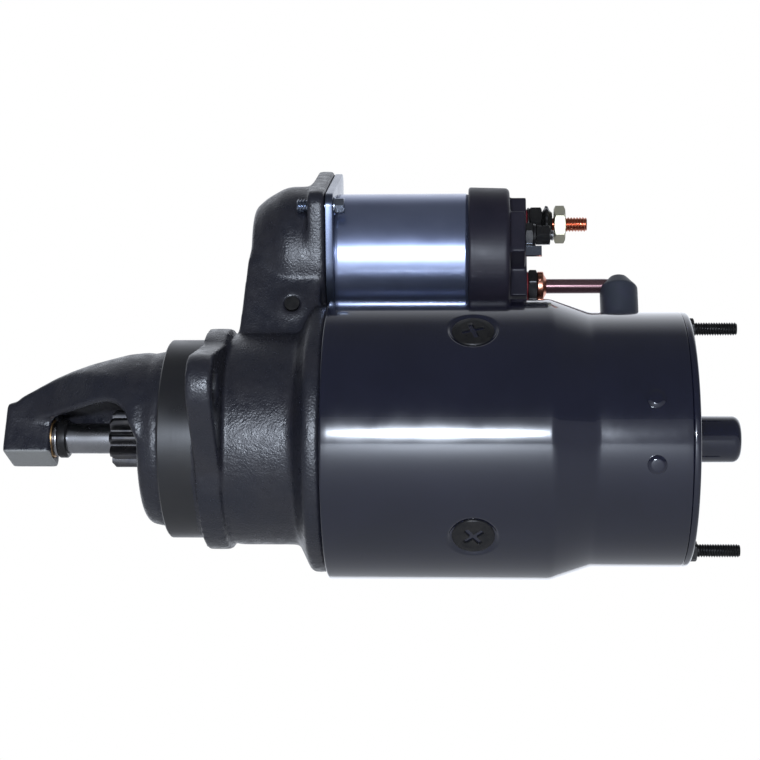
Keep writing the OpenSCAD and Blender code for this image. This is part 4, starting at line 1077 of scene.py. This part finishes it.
def area(name, place, target, size, power, colour=(1, 1, 1)):
    """A rectangular soft light. size is (along X, across)."""
    light = bpy.data.lights.new(name, "AREA")
    light.shape = "RECTANGLE"
    light.size, light.size_y = size
    light.energy = power
    light.color = colour
    ob = bpy.data.objects.new(name, light)
    bpy.context.scene.collection.objects.link(ob)
    ob.location = place
    aim = (Vector(target) - Vector(place)).normalized()
    side = Vector((1, 0, 0))
    up = aim.cross(side).normalized() * -1
    ob.rotation_mode = "QUATERNION"
    ob.rotation_quaternion = Matrix((side, up, -aim)).transposed().to_quaternion()
    return ob


def from_view(angle, distance, x):
    """A place round the shaft: angle is measured from the camera's side towards the solenoid."""
    a = math.radians(angle)
    return Vector((x, 0, 0)) + EYE * (distance * math.cos(a)) + UP * (distance * math.sin(a))


def make_lights():
    """One compact lamp just above the camera, with a weak glow round it."""
    target, rise, x = (0.06, 0, 0.02), 5.5, 0.075
    area("lamp", from_view(rise, 1.0, x), target, (0.155, 0.03), 7, (0.80, 0.88, 1.0))
    area("lamp_glow", from_view(rise, 1.02, x), target, (0.2, 0.075), 0.8, (0.66, 0.76, 1.0))


def make_world():
    """White surroundings behind the motor; dark on the camera's side."""
    bpy.context.scene.view_settings.view_transform = "Standard"
    world = bpy.data.worlds.new("studio")
    bpy.context.scene.world = world
    world.use_nodes = True
    nodes, links = world.node_tree.nodes, world.node_tree.links
    nodes.clear()
    out = nodes.new("ShaderNodeOutputWorld")
    place = nodes.new("ShaderNodeTexCoord").outputs["Generated"]
    dot = nodes.new("ShaderNodeVectorMath")
    dot.operation = "DOT_PRODUCT"
    dot.inputs[1].default_value = -EYE
    links.new(place, dot.inputs[0])
    band = nodes.new("ShaderNodeMapRange")
    band.interpolation_type = "SMOOTHSTEP"
    band.inputs["From Min"].default_value = 0.25
    band.inputs["From Max"].default_value = 0.95
    band.inputs["To Min"].default_value = 0.15
    band.inputs["To Max"].default_value = 1.25
    links.new(dot.outputs["Value"], band.inputs["Value"])
    seen = nodes.new("ShaderNodeBackground")
    seen.inputs["Color"].default_value = (1, 1, 1, 1)
    lit = nodes.new("ShaderNodeBackground")
    lit.inputs["Color"].default_value = (0.88, 0.92, 1, 1)
    links.new(band.outputs["Result"], lit.inputs["Strength"])
    path = nodes.new("ShaderNodeLightPath")
    mix = nodes.new("ShaderNodeMixShader")
    links.new(path.outputs["Is Camera Ray"], mix.inputs["Fac"])
    links.new(lit.outputs["Background"], mix.inputs[1])
    links.new(seen.outputs["Background"], mix.inputs[2])
    links.new(mix.outputs["Shader"], out.inputs["Surface"])


dress_cad_nodes()
make_housing()
make_frame_shell()
make_pole_screws()
make_brush_screws()
make_end_cover()
make_through_bolts()
make_solenoid_plate()
make_solenoid_screws()
make_solenoid_case()
make_cap()
make_terminals()
make_lead()
make_boot()
make_drive()
make_springs()
make_stage()
make_camera()
make_lights()
make_world()
